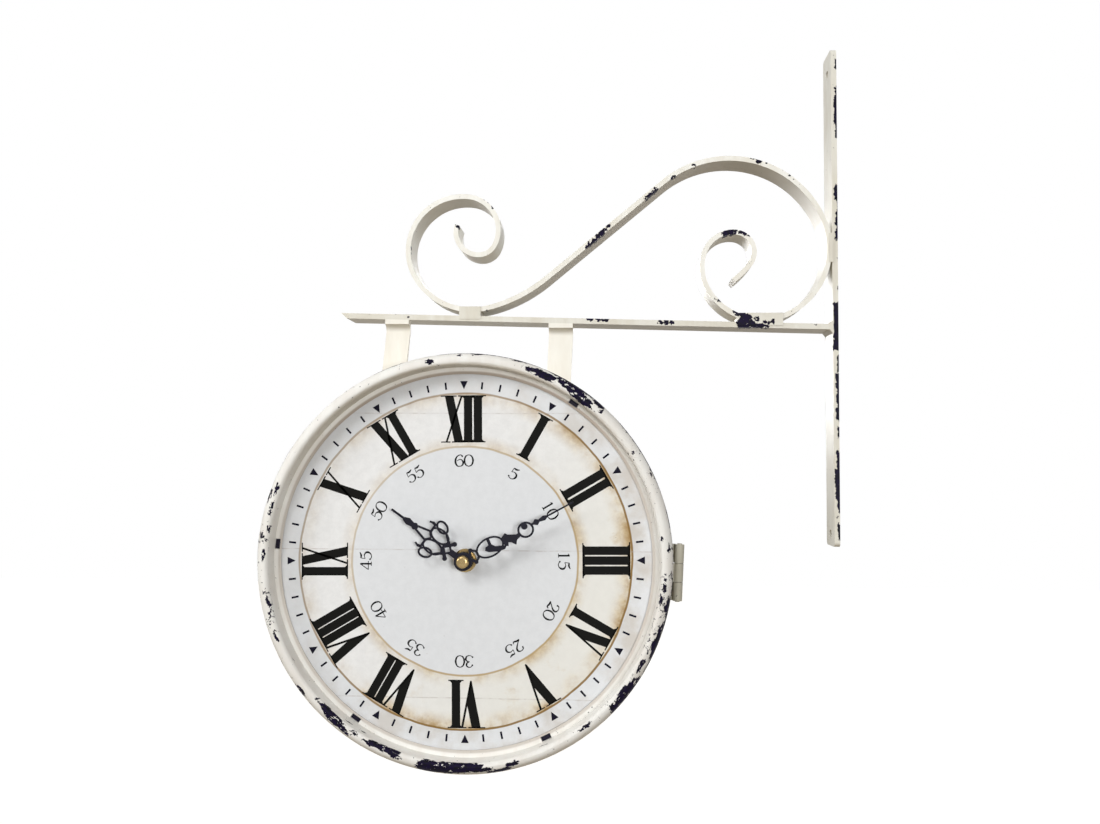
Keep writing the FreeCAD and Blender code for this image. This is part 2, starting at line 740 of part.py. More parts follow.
def movement_case():
    h = CASE / 2
    w = CASE_WALL
    y = CASE_Y
    floor = cavity_floor()
    out = block(-h, h, y, y + CASE_T, -h, h)
    out = out.cut(block(-h + w, h - w, y + w, y + CASE_T + 1, floor + w, h - w))
    out = out.cut(block(-h - 1, h + 1, y + CASE_T - w, y + CASE_T + 1, floor + w / 2, h + 1))
    out = out.cut(block(-h + w, h - w, y + w, y + CASE_T + 1, -h + w * 0.7, floor))
    out = out.cut(rod(BUSH_R, y - 1, y + w + 1))
    posts = []
    mx, mz = motion_at()
    tx, tz = third_at()
    posts.append(drod(0.5, w, 5.6, mx, mz))
    posts.append(drod(0.5, w, 10.0, tx, tz))
    return join([out] + posts)


def movement_cover():
    h = CASE / 2
    w = CASE_WALL
    y = CASE_Y
    out = block(-h, h, y + CASE_T - w, y + CASE_T, cavity_floor() + w / 2 + 0.1, h)
    kx, kz = knob_at()
    out = out.cut(rod(1.5 + FIT, y, y + 30, kx, kz))
    boss = pipe(2.2, 1.0 + FIT, y + 12.2, y + CASE_T - w)
    return join([out, boss])


def movement_bush():
    y = CASE_Y
    flange = pipe(5.2, TUBE_R + FIT, y + CASE_WALL, y + CASE_WALL + 0.5)
    stem = pipe(BUSH_R, TUBE_R + FIT, RECESS - WASHER_T - NUT_T - 0.8, y + CASE_WALL + 0.3)
    return join([flange, stem])


def rubber_washer():
    return pipe(9.0, BUSH_R + 0.1, RECESS + DIAL_T, CASE_Y)


def dial_washer():
    return pipe(WASHER_R, BUSH_R + 0.05, RECESS - WASHER_T, RECESS)


def hexagon(af, y0, y1):
    r = af / math.sqrt(3)
    return plate([polar(r, k * 60) for k in range(6)], y0, y1)


def dial_nut():
    y1 = RECESS - WASHER_T
    return hexagon(NUT_AF, y1 - NUT_T, y1).cut(rod(BUSH_R, y1 - NUT_T - 1, y1 + 1))


def hour_wheel():
    wheel = gear(N_HOUR, hour_module(), 2.0, 3.2, 0, 0, MOTION_DIR)
    tube = rod(TUBE_R, RECESS - HOUR_LIFT - HAND_T, CASE_Y + 2.5)
    return join([wheel, tube]).cut(rod(ARBOR_R + FIT, -30, 60))


def motion_wheel():
    x, z = motion_at()
    wheel = gear(N_MOTION, MOD, 3.7, 5.1, x, z, MOTION_DIR + 180 + 180.0 / N_MOTION)
    pinion = gear(N_MPIN, hour_module(), 1.9, 3.8, x, z, MOTION_DIR + 180 + 180.0 / N_MPIN)
    return join([wheel, pinion]).cut(drod(0.5 + 0.05, 0, 12, x, z))


def minute_arbor():
    y0 = RECESS - MIN_LIFT - HAND_T
    shaft = rod(ARBOR_R, y0, CASE_Y + 7.5)
    stud = rod(1.0, y0 - 1.2, y0 + 1)
    tail = rod(1.0, CASE_Y + 7, CASE_Y + CASE_T - CASE_WALL - 0.4)
    cannon = gear(N_CANNON, MOD, 3.6, 5.2, 0, 0, MOTION_DIR)
    wheel = gear(N_CENTRE, MOD, 6.0, 7.0, 0, 0, THIRD_DIR)
    return join([shaft, stud, tail, cannon, wheel])


def third_wheel():
    x, z = third_at()
    pinion = gear(N_TPIN, MOD, 5.8, 8.4, x, z, THIRD_DIR + 180 + 180.0 / N_TPIN)
    wheel = gear(N_THIRD, MOD, 8.2, 9.2, x, z, 0)
    hub = drod(1.2, 9.0, 9.8, x, z)
    return join([pinion, wheel, hub]).cut(drod(0.5 + 0.05, 0, 16, x, z))


def setting_knob():
    x, z = knob_at()
    pinion = gear(N_CANNON, MOD, 3.6, 5.2, x, z, -90 + 180.0 / N_CANNON + knob_phase())
    shaft = drod(1.5, 4.6, CASE_T + 0.6, x, z)
    pivot = drod(0.8, 1.5, 4, x, z)
    y0 = CASE_Y + CASE_T + GAP
    knob = rod(KNOB_R, y0, y0 + KNOB_T, x, z)
    for k in range(16):
        dx, dz = polar(KNOB_R + 0.25, k * 22.5)
        knob = knob.cut(rod(0.7, y0 - 1, y0 + KNOB_T + 1, x + dx, z + dz))
    return join([pinion, shaft, pivot, knob])


def knob_phase():
    # turn the pinion's gap onto the motion wheel's nearest tooth
    pitch = 360.0 / N_MOTION
    tooth = MOTION_DIR + 180 + pitch / 2
    off = (90 - tooth) % pitch
    if off > pitch / 2:
        off -= pitch
    return off * N_MOTION / N_CANNON


def motor_coil():
    z = CASE / 2 - CASE_WALL - 5.0
    y = CASE_Y + CASE_WALL + 5.6
    core = Part.makeCylinder(1.6, 24, V(-24, y, z), V(1, 0, 0))
    coil = Part.makeCylinder(3.6, 17, V(-20.5, y, z), V(1, 0, 0))
    cheeks = [block(x, x + 1, y - 4.2, y + 4.2, z - 4.2, z + 4.2) for x in (-21.5, -3.5)]
    feet = [block(x, x + 1, CASE_Y + CASE_WALL, y, z - 3, z + 3) for x in (-21.5, -3.5)]
    return join([core, coil] + cheeks + feet)


def circuit_board():
    y = CASE_Y + CASE_WALL
    h = CASE / 2 - CASE_WALL - 1
    board = block(h - 15, h, y + 1.5, y + 2.5, -8, h)
    chip = rod(2.6, y + 2.4, y + 3.6, h - 6, 4)
    crystal = Part.makeCylinder(1.0, 6, V(h - 11, y + 3.2, 14), V(1, 0, 0))
    legs = [rod(0.8, y, y + 1.6, x, z) for x in (h - 1.6, h - 12) for z in (-6.5, h - 1.6)]
    return join([board, chip, crystal] + legs)


def cell_mid():
    return CASE_Y + CASE_WALL + GAP + CELL_R, -CASE / 2 + CASE_WALL * 0.7 + 0.5 + CELL_R


def battery():
    y, z = cell_mid()
    body = Part.makeCylinder(CELL_R, CELL_L - 1.2, V(-CELL_L / 2, y, z), V(1, 0, 0))
    nub = Part.makeCylinder(2.7, 1.8, V(CELL_L / 2 - 1.8, y, z), V(1, 0, 0))
    return join([body, nub])


def battery_contacts():
    y, z = cell_mid()
    h = CASE / 2 - CASE_WALL
    out = []
    for s in (-1, 1):
        a, b = sorted((s * (h - 0.1), s * (h - 0.5)))
        strip = block(a, b, y - 5, y + 5, z - 5, z + 5)
        a, b = sorted((s * (h - 0.4), s * (CELL_L / 2 + GAP)))
        dome = Part.makeCylinder(2.6, b - a, V(a, y, z), V(1, 0, 0))
        out.append(join([strip, dome]))
    return group(out)


# ---- hands, drawn pointing up, then turned ----------------------------------
def bar(p, q, w):
    dx = q[0] - p[0]
    dz = q[1] - p[1]
    n = math.hypot(dx, dz)
    ox = -dz / n * w / 2
    oz = dx / n * w / 2
    pts = [(p[0] + ox, p[1] + oz), (q[0] + ox, q[1] + oz), (q[0] - ox, q[1] - oz), (p[0] - ox, p[1] - oz)]
    return plate(pts, 0, HAND_T)


def disc(x, z, r):
    return rod(r, 0, HAND_T, x, z)


def oval(x, z, rx, rz, w, tilt=0.0):
    def face(a, b):
        big, small = max(a, b), min(a, b)
        e = Part.Ellipse(V(0, 0, 0), big, small)
        s = Part.Face(Part.Wire(e.toShape())).extrude(V(0, 0, HAND_T))
        if a < b:
            s.rotate(V(0, 0, 0), V(0, 0, 1), 90)
        s.rotate(V(0, 0, 0), V(1, 0, 0), 90)
        s.translate(V(0, HAND_T, 0))
        return s
    ring = face(rx + w / 2, rz + w / 2).cut(face(rx - w / 2, rz - w / 2))
    ring.rotate(V(0, 0, 0), V(0, 1, 0), tilt)
    ring.translate(V(x, 0, z))
    return ring


def hour_shape():
    parts = [disc(0, 0, HUB_R), bar((0, 3), (0, 9), 3.2)]
    for s in (-1, 1):
        parts.append(bar((s * 4.5, 9.0), (0, 13.6), 1.9))
        parts.append(disc(s * 4.6, 9.0, 1.25))
        parts.append(bar((0, 8.0), (s * 4.2, 12.6), 1.1))
        parts.append(oval(s * 3.5, 17.9, 3.3, 5.4, 1.0, s * 4.0))
        parts.append(oval(s * 8.0, 19.4, 2.4, 3.5, 1.1, s * 20.0))
        parts.append(bar((s * 3.0, 12.0), (s * 7.2, 16.6), 1.0))
        parts.append(bar((s * 2.6, 23.2), (s * 7.4, 23.2), 1.3))
        parts.append(bar((s * 6.8, 23.0), (s * 7.3, 25.2), 1.5))
        parts.append(bar((s * 7.3, 25.0), (s * 6.6, 26.8), 1.0))
        parts.append(bar((0, 21.2), (s * 2.9, 23.8), 1.1))
        parts.append(bar((s * 2.8, 23.0), (s * 0.9, 31.0), 1.1))
    parts.append(plate([(-1.0, 30.0), (1.0, 30.0), (2.0, 31.9), (1.2, 33.4), (-1.2, 33.4), (-2.0, 31.9)], 0, HAND_T))
    parts.append(plate([(-1.2, 33.0), (1.2, 33.0), (1.9, 36.4), (0.8, 39.2), (-0.8, 39.2), (-1.9, 36.4)], 0, HAND_T))
    parts.append(bar((0, 38.5), (0, 47.2), 1.2))
    return join(parts)


def minute_shape():
    parts = [disc(0, 0, HUB_R - 0.1)]
    for s in (-1, 1):
        parts.append(bar((0, 3.6), (s * 3.6, 6.8), 1.3))
        parts.append(disc(s * 3.4, 6.4, 1.1))
        parts.append(bar((s * 3.4, 6.4), (s * 1.5, 9.2), 1.2))
    parts.append(bar((-2.2, 8.9), (2.2, 8.9), 1.2))
    parts.append(oval(0, 16.3, 4.7, 7.4, 1.0))
    parts.append(bar((-4.4, 17.2), (0.5, 16.8), 1.6))
    parts.append(plate([(-1.5, 17.4), (-1.0, 14.2), (0.5, 13.2), (2.0, 14.6), (4.2, 19.6), (4.6, 23.0),
                        (3.4, 24.6), (2.2, 22.4), (0.8, 19.0)], 0, HAND_T))
    parts.append(plate([(-1.2, 23.4), (-2.8, 26.6), (-1.4, 27.6), (0.6, 31.6), (0.4, 33.4), (2.6, 33.2),
                        (3.4, 30.8), (5.4, 29.2), (3.0, 27.4), (2.4, 26.2), (4.2, 25.2), (2.8, 23.6)], 0, HAND_T))
    parts.append(oval(0.9, 37.2, 3.7, 3.9, 1.1))
    parts.append(disc(-1.0, 37.4, 1.7))
    parts.append(bar((-1.0, 37.4), (-2.8, 37.4), 2.4))
    parts.append(bar((0, 40.4), (0, 43.4), 1.2))
    parts.append(plate([(-0.6, 42.2), (0.6, 42.2), (1.8, 44.0), (0.7, 45.6), (-0.7, 45.6), (-1.8, 44.0)], 0, HAND_T))
    parts.append(plate([(-0.6, 45.2), (0.6, 45.2), (1.4, 48.6), (0.5, 50.6), (-0.5, 50.6), (-1.4, 48.6)], 0, HAND_T))
    parts.append(bar((0, 50.2), (0, 66.0), 0.9))
    return join(parts)


def hand(shape, y, hole, deg):
    out = shape.copy()
    out.translate(V(0, y, 0))
    out = out.cut(rod(hole, y - 1, y + HAND_T + 1))
    return turned(out, deg)


def hour_hand():
    return hand(hour_shape(), RECESS - HOUR_LIFT - HAND_T, TUBE_R, HOUR_DEG)


def minute_hand():
    return hand(minute_shape(), RECESS - MIN_LIFT - HAND_T, ARBOR_R, MIN_DEG)


def cap_nut():
    y1 = RECESS - MIN_LIFT - HAND_T
    y0 = y1 - CAP_T
    body = rod(CAP_R, y0, y1)
    edge = [e for e in body.Edges if abs(e.BoundBox.YMax - y0) < 0.01 and e.BoundBox.XLength > CAP_R]
    body = body.makeFillet(CAP_T * 0.8, edge)
    return body.cut(rod(1.0, y1 - 1.4, y1 + 1))


def main():
    bar_solid = wall_bar()
    arm = arm_bar()
    strip = s_scroll()
    save("wall_bar", bar_solid)
    save("arm_bar", arm)
    save("s_scroll", strip)
    save("weld_beads", weld_beads(strip, arm, bar_solid))
    save("strap_left", strap(0))
    save("strap_right", strap(1))
    save("strap_screws", strap_screws())
    save("strap_nuts", strap_nuts())
    save("drum_band", drum_band())
    save("front_ring", front(face_ring(False)))
    save("rear_ring", rear(face_ring(True)))
    save("rear_ring_screws", rear(rear_ring_screws()))
    save("hinge_leaf_drum", front(turned(hinge_leaf_drum(), HINGE_DEG)))
    save("hinge_leaf_door", front(turned(hinge_leaf_door(), HINGE_DEG)))
    save("hinge_pin", front(turned(hinge_pin(), HINGE_DEG)))
    save("hinge_rivets_drum", front(turned(hinge_rivets_drum(), HINGE_DEG)))
    save("catch_tab", front(turned(catch_tab_full(), HINGE_DEG)))
    save("catch_spring", front(turned(catch_spring(), HINGE_DEG)))
    save("catch_rivets", front(turned(catch_rivets(), HINGE_DEG)))
    shared = {"dial": dial, "dial_clips": dial_clips, "movement_case": movement_case,
              "movement_cover": movement_cover, "movement_bush": movement_bush,
              "rubber_washer": rubber_washer, "dial_washer": dial_washer, "dial_nut": dial_nut,
              "hour_wheel": hour_wheel, "motion_wheel": motion_wheel, "minute_arbor": minute_arbor,
              "third_wheel": third_wheel, "setting_knob": setting_knob, "motor_coil": motor_coil,
              "circuit_board": circuit_board, "battery": battery, "battery_contacts": battery_contacts,
              "hour_hand": hour_hand, "minute_hand": minute_hand, "cap_nut": cap_nut}
    for name, make in shared.items():
        shape = make()
        save("front_" + name, front(shape))
        save("rear_" + name, rear(shape))


main()
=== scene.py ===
import json
import math

import bmesh
import bpy
from mathutils import Matrix, Vector


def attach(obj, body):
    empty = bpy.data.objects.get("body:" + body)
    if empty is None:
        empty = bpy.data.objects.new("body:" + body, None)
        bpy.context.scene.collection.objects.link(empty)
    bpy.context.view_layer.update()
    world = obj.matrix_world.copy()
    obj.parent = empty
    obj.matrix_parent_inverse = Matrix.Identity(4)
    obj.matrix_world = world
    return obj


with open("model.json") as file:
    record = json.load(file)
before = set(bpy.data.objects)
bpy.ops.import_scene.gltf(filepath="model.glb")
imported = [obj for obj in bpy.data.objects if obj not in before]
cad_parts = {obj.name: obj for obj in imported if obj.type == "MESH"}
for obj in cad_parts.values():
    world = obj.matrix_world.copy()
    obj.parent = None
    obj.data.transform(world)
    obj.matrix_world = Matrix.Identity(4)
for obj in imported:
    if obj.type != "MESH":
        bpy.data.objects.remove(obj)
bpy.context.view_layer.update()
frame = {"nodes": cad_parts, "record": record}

MM = 0.001
HUB = (-0.201, -0.1419)           # the hands' axis, x and z
ART = (-0.2014, -0.1420)          # the middle of the dial's print
ART_TILT = -0.65                  # degrees clockwise that the print sits turned
DIAL_Y = -0.028                   # front dial's face
PRINT_T = 0.00004                 # print's height over the dial
BOLD = 1.2                        # minute numerals' strokes over their drawn widths
RIM_R = 0.110
ROLL_R = 0.0045                   # the rim's outer roll
ROLL_AT = (0.1055, -0.0355)       # its centre line, radius and y
BAR_FRONT = -0.010                # the front edges of the bars and the scroll, y
BAR_T = 0.003                     # the wall bar's thickness
WHITE = (1.0, 1.0, 1.0, 1.0)

# the photograph's camera
IMAGE = (1100, 824)
CAM_AT = Vector((-0.12298, -0.56677, -0.08778))
CAM_RIGHT = Vector((0.998124, 0.061049, 0.004704))
CAM_AHEAD = Vector((-0.061202, 0.997043, 0.046469))
CAM_UP = Vector((-0.001853, -0.046670, 0.998909))
FOCAL = 1012.0                    # in the photograph's pixels


def seen_at(u, v, y):
    """The point of the plane y that the photograph shows at u, v."""
    ray = CAM_AHEAD * FOCAL + CAM_RIGHT * (u - IMAGE[0] / 2) - CAM_UP * (v - IMAGE[1] / 2)
    return CAM_AT + ray * ((y - CAM_AT.y) / ray.y)


# ---- node helpers -----------------------------------------------------------
class Nodes:
    """Short ways to add nodes to one tree. A value is a number, a tuple or a socket."""

    def __init__(self, tree):
        self.tree = tree

    def new(self, kind, **props):
        node = self.tree.nodes.new(kind)
        for key, value in props.items():
            setattr(node, key, value)
        return node

    def put(self, socket, value):
        if isinstance(value, bpy.types.NodeSocket):
            self.tree.links.new(value, socket)
        elif value is not None:
            socket.default_value = value

    def math(self, op, a, b=None, c=None):
        node = self.new("ShaderNodeMath", operation=op)
        for socket, value in zip(node.inputs, (a, b, c)):
            self.put(socket, value)
        return node.outputs[0]

    def add(self, a, b):
        return self.math("ADD", a, b)

    def sub(self, a, b):
        return self.math("SUBTRACT", a, b)

    def mul(self, a, b):
        return self.math("MULTIPLY", a, b)

    def top(self, a, b):
        return self.math("MAXIMUM", a, b)

    def vec(self, op, a, b=None, scale=None):
        node = self.new("ShaderNodeVectorMath", operation=op)
        self.put(node.inputs[0], a)
        if b is not None:
            self.put(node.inputs[1], b)
        if scale is not None:
            self.put(node.inputs["Scale"], scale)
        return node.outputs["Value" if op in ("DISTANCE", "LENGTH", "DOT_PRODUCT") else "Vector"]

    def split(self, vector):
        node = self.new("ShaderNodeSeparateXYZ")
        self.put(node.inputs[0], vector)
        return node.outputs

    def join(self, x, y, z):
        node = self.new("ShaderNodeCombineXYZ")
        for socket, value in zip(node.inputs, (x, y, z)):
            self.put(socket, value)
        return node.outputs[0]

    def ramp(self, value, low, high, out_low=0.0, out_high=1.0):
        node = self.new("ShaderNodeMapRange", interpolation_type="SMOOTHSTEP")
        for key, part in (("Value", value), ("From Min", low), ("From Max", high),
                          ("To Min", out_low), ("To Max", out_high)):
            self.put(node.inputs[key], part)
        return node.outputs["Result"]

    def noise(self, vector, scale, detail=2.0, rough=0.5, colour=False):
        node = self.new("ShaderNodeTexNoise", noise_dimensions="3D")
        self.put(node.inputs["Vector"], vector)
        self.put(node.inputs["Scale"], scale)
        self.put(node.inputs["Detail"], detail)
        self.put(node.inputs["Roughness"], rough)
        return node.outputs["Color" if colour else 0]

    def mix(self, mask, a, b):
        node = self.new("ShaderNodeMix", data_type="RGBA")
        self.put(node.inputs[0], mask)
        self.put(node.inputs[6], a)
        self.put(node.inputs[7], b)
        return node.outputs[2]

    def group(self, tree, **values):
        node = self.new("ShaderNodeGroup")
        node.node_tree = tree
        for key, value in values.items():
            self.put(node.inputs[key], value)
        return node.outputs


def new_group(name, inputs, outputs):
    tree = bpy.data.node_groups.new(name, "ShaderNodeTree")
    kinds = {"v": "NodeSocketVector", "f": "NodeSocketFloat", "c": "NodeSocketColor"}
    for key, kind in inputs:
        tree.interface.new_socket(name=key, in_out="INPUT", socket_type=kinds[kind])
    for key, kind in outputs:
        tree.interface.new_socket(name=key, in_out="OUTPUT", socket_type=kinds[kind])
    n = Nodes(tree)
    return tree, n, n.new("NodeGroupInput").outputs, n.new("NodeGroupOutput").inputs


def rgb(r, g, b):
    """A colour as it shows, 0 to 255, as the shader wants it."""
    def lin(c):
        c /= 255.0
        return c / 12.92 if c <= 0.04045 else ((c + 0.055) / 1.055) ** 2.4
    return (lin(r), lin(g), lin(b), 1.0)


NAVY = rgb(18, 9, 40)
SOOT = rgb(12, 12, 18)
# painted shade: the tan that surfaces facing down are mixed toward
UNDERSIDE_PAINTED_SHADE = rgb(184, 172, 150)
# painted shade on the rim's inner wall, inside the roll, darkest at the top
RECESS_PAINTED_SHADE = rgb(176, 164, 152)


# ---- paint that has chipped -------------------------------------------------
# where the photograph shows the dark base: u, v, half length and half height in pixels, lean in degrees
RIM_CHIPS = [
    (534, 370, 6, 2.4, 8), (546, 376, 6, 4, 20), (561, 376, 7, 2.5, 30), (568, 384, 6, 4, 40),
    (574, 388, 7, 5, 40), (582, 399, 8, 5, 45), (592, 396, 8, 2.5, 35), (575, 394, 4, 4, 0),
    (599, 404, 5, 1.6, 35), (630, 432, 12, 1.4, 50), (645, 450, 8, 1.3, 55), (622, 424, 4, 1.8, 50),
    (634, 453, 1.2, 1.2, 0), (601, 411, 2, 1, 0), (524, 362, 8, 1.4, 14), (512, 358, 5, 1.2, 8),
    (477, 354, 3, 0.9, 0), (461, 355, 3, 0.8, 0), (428, 361, 2.4, 2, 0), (396, 364, 1.4, 1, 0),
    (378, 372, 1.3, 1, 0), (552, 365, 4, 1.0, 10),
    (654, 449, 1.5, 1.2, 0), (657, 464, 2, 0.8, 60), (668, 487, 3, 0.7, 60),
    (674, 520, 0.9, 4, 0), (675, 548, 0.9, 12, 0), (661, 540, 1.2, 1.8, 0), (669, 548, 1.4, 2.4, 0),
    (671, 577, 1.2, 2.0, 0), (665, 588, 2.4, 1.6, 0), (673, 600, 1.4, 5, 0), (661, 600, 1.6, 3, 0),
    (668, 608, 3, 4.5, -15), (663, 641, 8, 5.5, -55), (658, 650, 9, 3.5, -55), (655, 664, 6, 3, -50),
    (641, 666, 4, 2.5, -60), (643, 676, 3.5, 2.5, -50), (650, 676, 3, 1.8, -50), (628, 695, 8, 5.5, -40),
    (622, 702, 9, 4, -45), (613, 706, 3, 1.6, -45), (611, 716, 5, 1.6, -40), (585, 727, 5, 2.0, -35),
    (512, 764, 5, 2.2, -20), (508, 768, 3, 2, -20), (541, 741, 2, 0.7, 0),
    (446, 765, 24, 4.2, 4), (443, 769, 22, 5, 2), (465, 768, 14, 4.5, 0), (482, 770, 8, 2.4, -4),
    (497, 771, 7, 1.4, -6), (384, 748, 14, 3.2, 22), (389, 751, 8, 3.4, 26), (372, 744, 6, 2.4, 20),
    (395, 757, 4, 1.6, 20), (333, 717, 9, 4.5, 50), (340, 727, 8, 3.0, 48), (326, 709, 5, 2.6, 50),
    (354, 733, 2.2, 1.2, 40), (352, 718, 1.8, 0.9, 30), (366, 727, 1.4, 0.8, 20),
    (270, 495, 1.4, 5, 20), (277, 488, 1.6, 3.4, 20), (271, 508, 1.3, 5, 10), (269, 529, 2.2, 1.6, 0),
    (261, 535, 1.6, 1.4, 0), (263, 555, 1.6, 3.4, 0), (267, 600, 2.2, 2, 0), (261, 606, 1.6, 7, -10),
    (271, 611, 1.4, 1, 0), (276, 637, 1.2, 3, -20), (268, 640, 1.6, 6, -25), (256, 580, 1.0, 9, 0),
    (281, 668, 2.2, 5, -35), (289, 683, 1.4, 2.2, -35), (300, 690, 2.0, 3.4, -40), (296, 660, 1, 1, 0),
    (258, 520, 0.9, 6, 8), (310, 705, 2.0, 2.4, -45), (318, 700, 1.2, 1.0, 0),
]
BAR_CHIPS = [
    (458, 226, 2.0, 3.4, 0), (488, 199, 5, 2.6, 35), (494, 206, 3.5, 2.4, 55), (503, 226, 1.0, 3.6, 0),
    (413, 254, 1.6, 6, -10), (417, 268, 1.2, 8, -20), (421, 277, 1.4, 3, -35), (527, 296, 3.0, 1.2, -25),
    (500, 311, 14, 1.2, -2), (596, 239, 11, 2.6, -42), (603, 231, 9, 2.0, -42), (590, 245, 5, 1.6, -30),
    (649, 196, 5, 2.6, -30), (655, 191, 4, 2.4, -45), (646, 201, 3, 1.2, -35), (676, 177, 5, 1.6, -22),
    (694, 165, 2.0, 1.4, -20), (759, 161, 3.6, 2.2, -10), (754, 158, 4, 0.9, 0), (767, 163, 1.2, 1.2, 0),
    (790, 175, 1.0, 1.0, 0), (728, 233, 6, 3.4, -18), (736, 231, 6, 2.0, 10), (745, 233, 6, 2.0, 20),
    (712, 289, 0.8, 0.8, 0), (716, 299, 1.2, 1.0, 30), (719, 301, 1.6, 1.6, 30), (818, 295, 1.4, 1.0, 0),
    (737, 312, 4, 3.6, 0), (744, 316, 6, 3.4, 20), (753, 318, 6, 2.4, 10), (741, 323, 5, 4.6, 0),
    (749, 324, 6, 4.0, 0),
    (760, 326, 9, 2.4, 4), (769, 322, 6, 1.8, 0), (598, 318, 11, 3.4, 0), (607, 317, 4, 2.0, 0),
    (666, 322, 8, 2.4, 2), (397, 332, 1.0, 2.4, 0), (399, 335, 1.8, 0.8, -20), (412, 247, 1.0, 1.4, 0),
    (409, 317, 1.0, 1.0, 0), (572, 316, 4, 0.7, 0), (816, 325, 1.0, 0.8, 0),
]
# the wall bar's front edge, its chips run along it: v from and to, share of the edge's width from its
# right side
POST_CHIPS = [
    (88, 124, 0.5), (122, 138, 0.4), (183, 200, 0.5), (196, 235, 0.35), (231, 240, 0.5), (301, 345, 0.85),
    (338, 352, 1.0), (352, 372, 0.3), (374, 420, 0.55), (452, 516, 0.5), (470, 500, 0.8),
    (60, 66, 0.2), (258, 264, 0.15), (286, 290, 0.2), (428, 436, 0.2), (524, 540, 0.3),
]
POST_U = 834                       # the column of pixels that this edge stands on
MOST_DISCS = 8                     # for one chip


def discs(chips):
    """Each oval chip as a row of discs: u, v and radius in pixels."""
    for u, v, a, b, lean in chips:
        if b > a:
            a, b, lean = b, a, lean + 90
        count = min(MOST_DISCS, max(1, round(a / b)))
        for k in range(count):
            run = (a - b) * (2 * k / (count - 1) - 1) if count > 1 else 0.0
            yield (u + run * math.cos(math.radians(lean)), v + run * math.sin(math.radians(lean)),
                   b if count > 1 else math.sqrt(a * b))


def blob_group(name, chips, find, place, rough_edge):
    """Mask of chips: 1 inside ragged discs about the listed places. find gives the point of the part that
    the photograph shows there, and place where its distances are measured, so that chips run along the
    rim or across the bars."""
    tree, n, i, o = new_group(name, [("Placed", "v")], [("Mask", "f")])
    placed = i["Placed"]
    wobble = n.vec("SUBTRACT", n.noise(placed, 420.0, 3.0, 0.6, True), (0.5, 0.5, 0.5))
    bent = n.vec("ADD", placed, n.vec("SCALE", wobble, scale=0.0040))
    best = None
    for u, v, r in discs(chips):
        at, stretch = find(u, v)
        size = r * stretch * (seen_at(u + 1, v, at.y) - seen_at(u, v, at.y)).length + 0.0001
        reach = n.sub(n.vec("DISTANCE", bent, place(at)), size)
        best = reach if best is None else n.math("SMOOTH_MIN", best, reach, 0.0008)
    ragged = n.sub(n.noise(placed, 800.0, 3.0, 0.6), 0.5)
    chip = n.ramp(n.add(best, n.mul(ragged, rough_edge)), -0.00005, 0.00012, 1.0, 0.0)
    # paint that still holds inside the chips
    islands = n.ramp(n.noise(placed, 620.0, 3.0, 0.6), 0.595, 0.61)
    left = n.mul(islands, n.ramp(n.noise(placed, 130.0, 1.0), 0.46, 0.52))
    n.put(o["Mask"], n.mul(chip, n.sub(1.0, left)))
    return tree


SEAM = math.radians(60)            # the rim's angles start here, left of twelve, where it has no chips
ALONG = 0.5                        # chips run this much longer along the rim


def rim_find(u, v):
    """The point of the front rim's roll that the photograph shows at u, v, and how far the roll's slope
    stretches a pixel there."""
    at = seen_at(u, v, ROLL_AT[1] - ROLL_R)
    for _ in range(6):
        share = (math.hypot(at.x - HUB[0], at.z - HUB[1]) - ROLL_AT[0]) / ROLL_R
        rise = math.sqrt(max(0.0, 1 - share * share))
        at = seen_at(u, v, ROLL_AT[1] - ROLL_R * rise)
    return at, min(1.7, 1 / max(rise, 0.1) ** 0.6)


def rim_place(at):
    """Along the rim, and round its roll."""
    angle = math.atan2(at.x - HUB[0], at.z - HUB[1])
    round_roll = math.atan2(math.hypot(at.x - HUB[0], at.z - HUB[1]) - ROLL_AT[0], ROLL_AT[1] - at.y)
    return ((angle + SEAM) % math.tau * RIM_R * ALONG, round_roll * ROLL_R, 0.0)


def bar_find(u, v):
    """The point of the bars' front edges that the photograph shows at u, v, which no slope stretches."""
    return seen_at(u, v, BAR_FRONT), 1.0


def bar_place(at):
    """On the plane of the bars' front edges."""
    return (at.x, 0.0, at.z)


def post_group():
    """Mask of the chips along the wall bar's front edge."""
    tree, n, i, o = new_group("post_chips", [("Point", "v")], [("Mask", "f")])
    x, y, z = n.split(i["Point"])
    ragged = n.sub(n.noise(i["Point"], 260.0, 3.0, 0.6), 0.5)
    fine = n.sub(n.noise(i["Point"], 1100.0, 1.0), 0.5)
    best = 0.0
    for v0, v1, share in POST_CHIPS:
        za, zb = seen_at(POST_U, v1, BAR_FRONT).z, seen_at(POST_U, v0, BAR_FRONT).z
        along = n.sub((zb - za) / 2, n.math("ABSOLUTE", n.sub(z, (za + zb) / 2)))
        across = n.add(x, BAR_T * share)
        deep = n.math("MINIMUM", n.mul(along, 0.35), across)
        deep = n.add(deep, n.add(n.mul(ragged, 0.0042), n.mul(fine, 0.0009)))
        best = n.top(best, n.ramp(deep, -0.00005, 0.00008))
    front = n.ramp(y, BAR_FRONT + 0.0012, BAR_FRONT + 0.0020, 1.0, 0.0)
    n.put(o["Mask"], n.mul(best, front))
    return tree


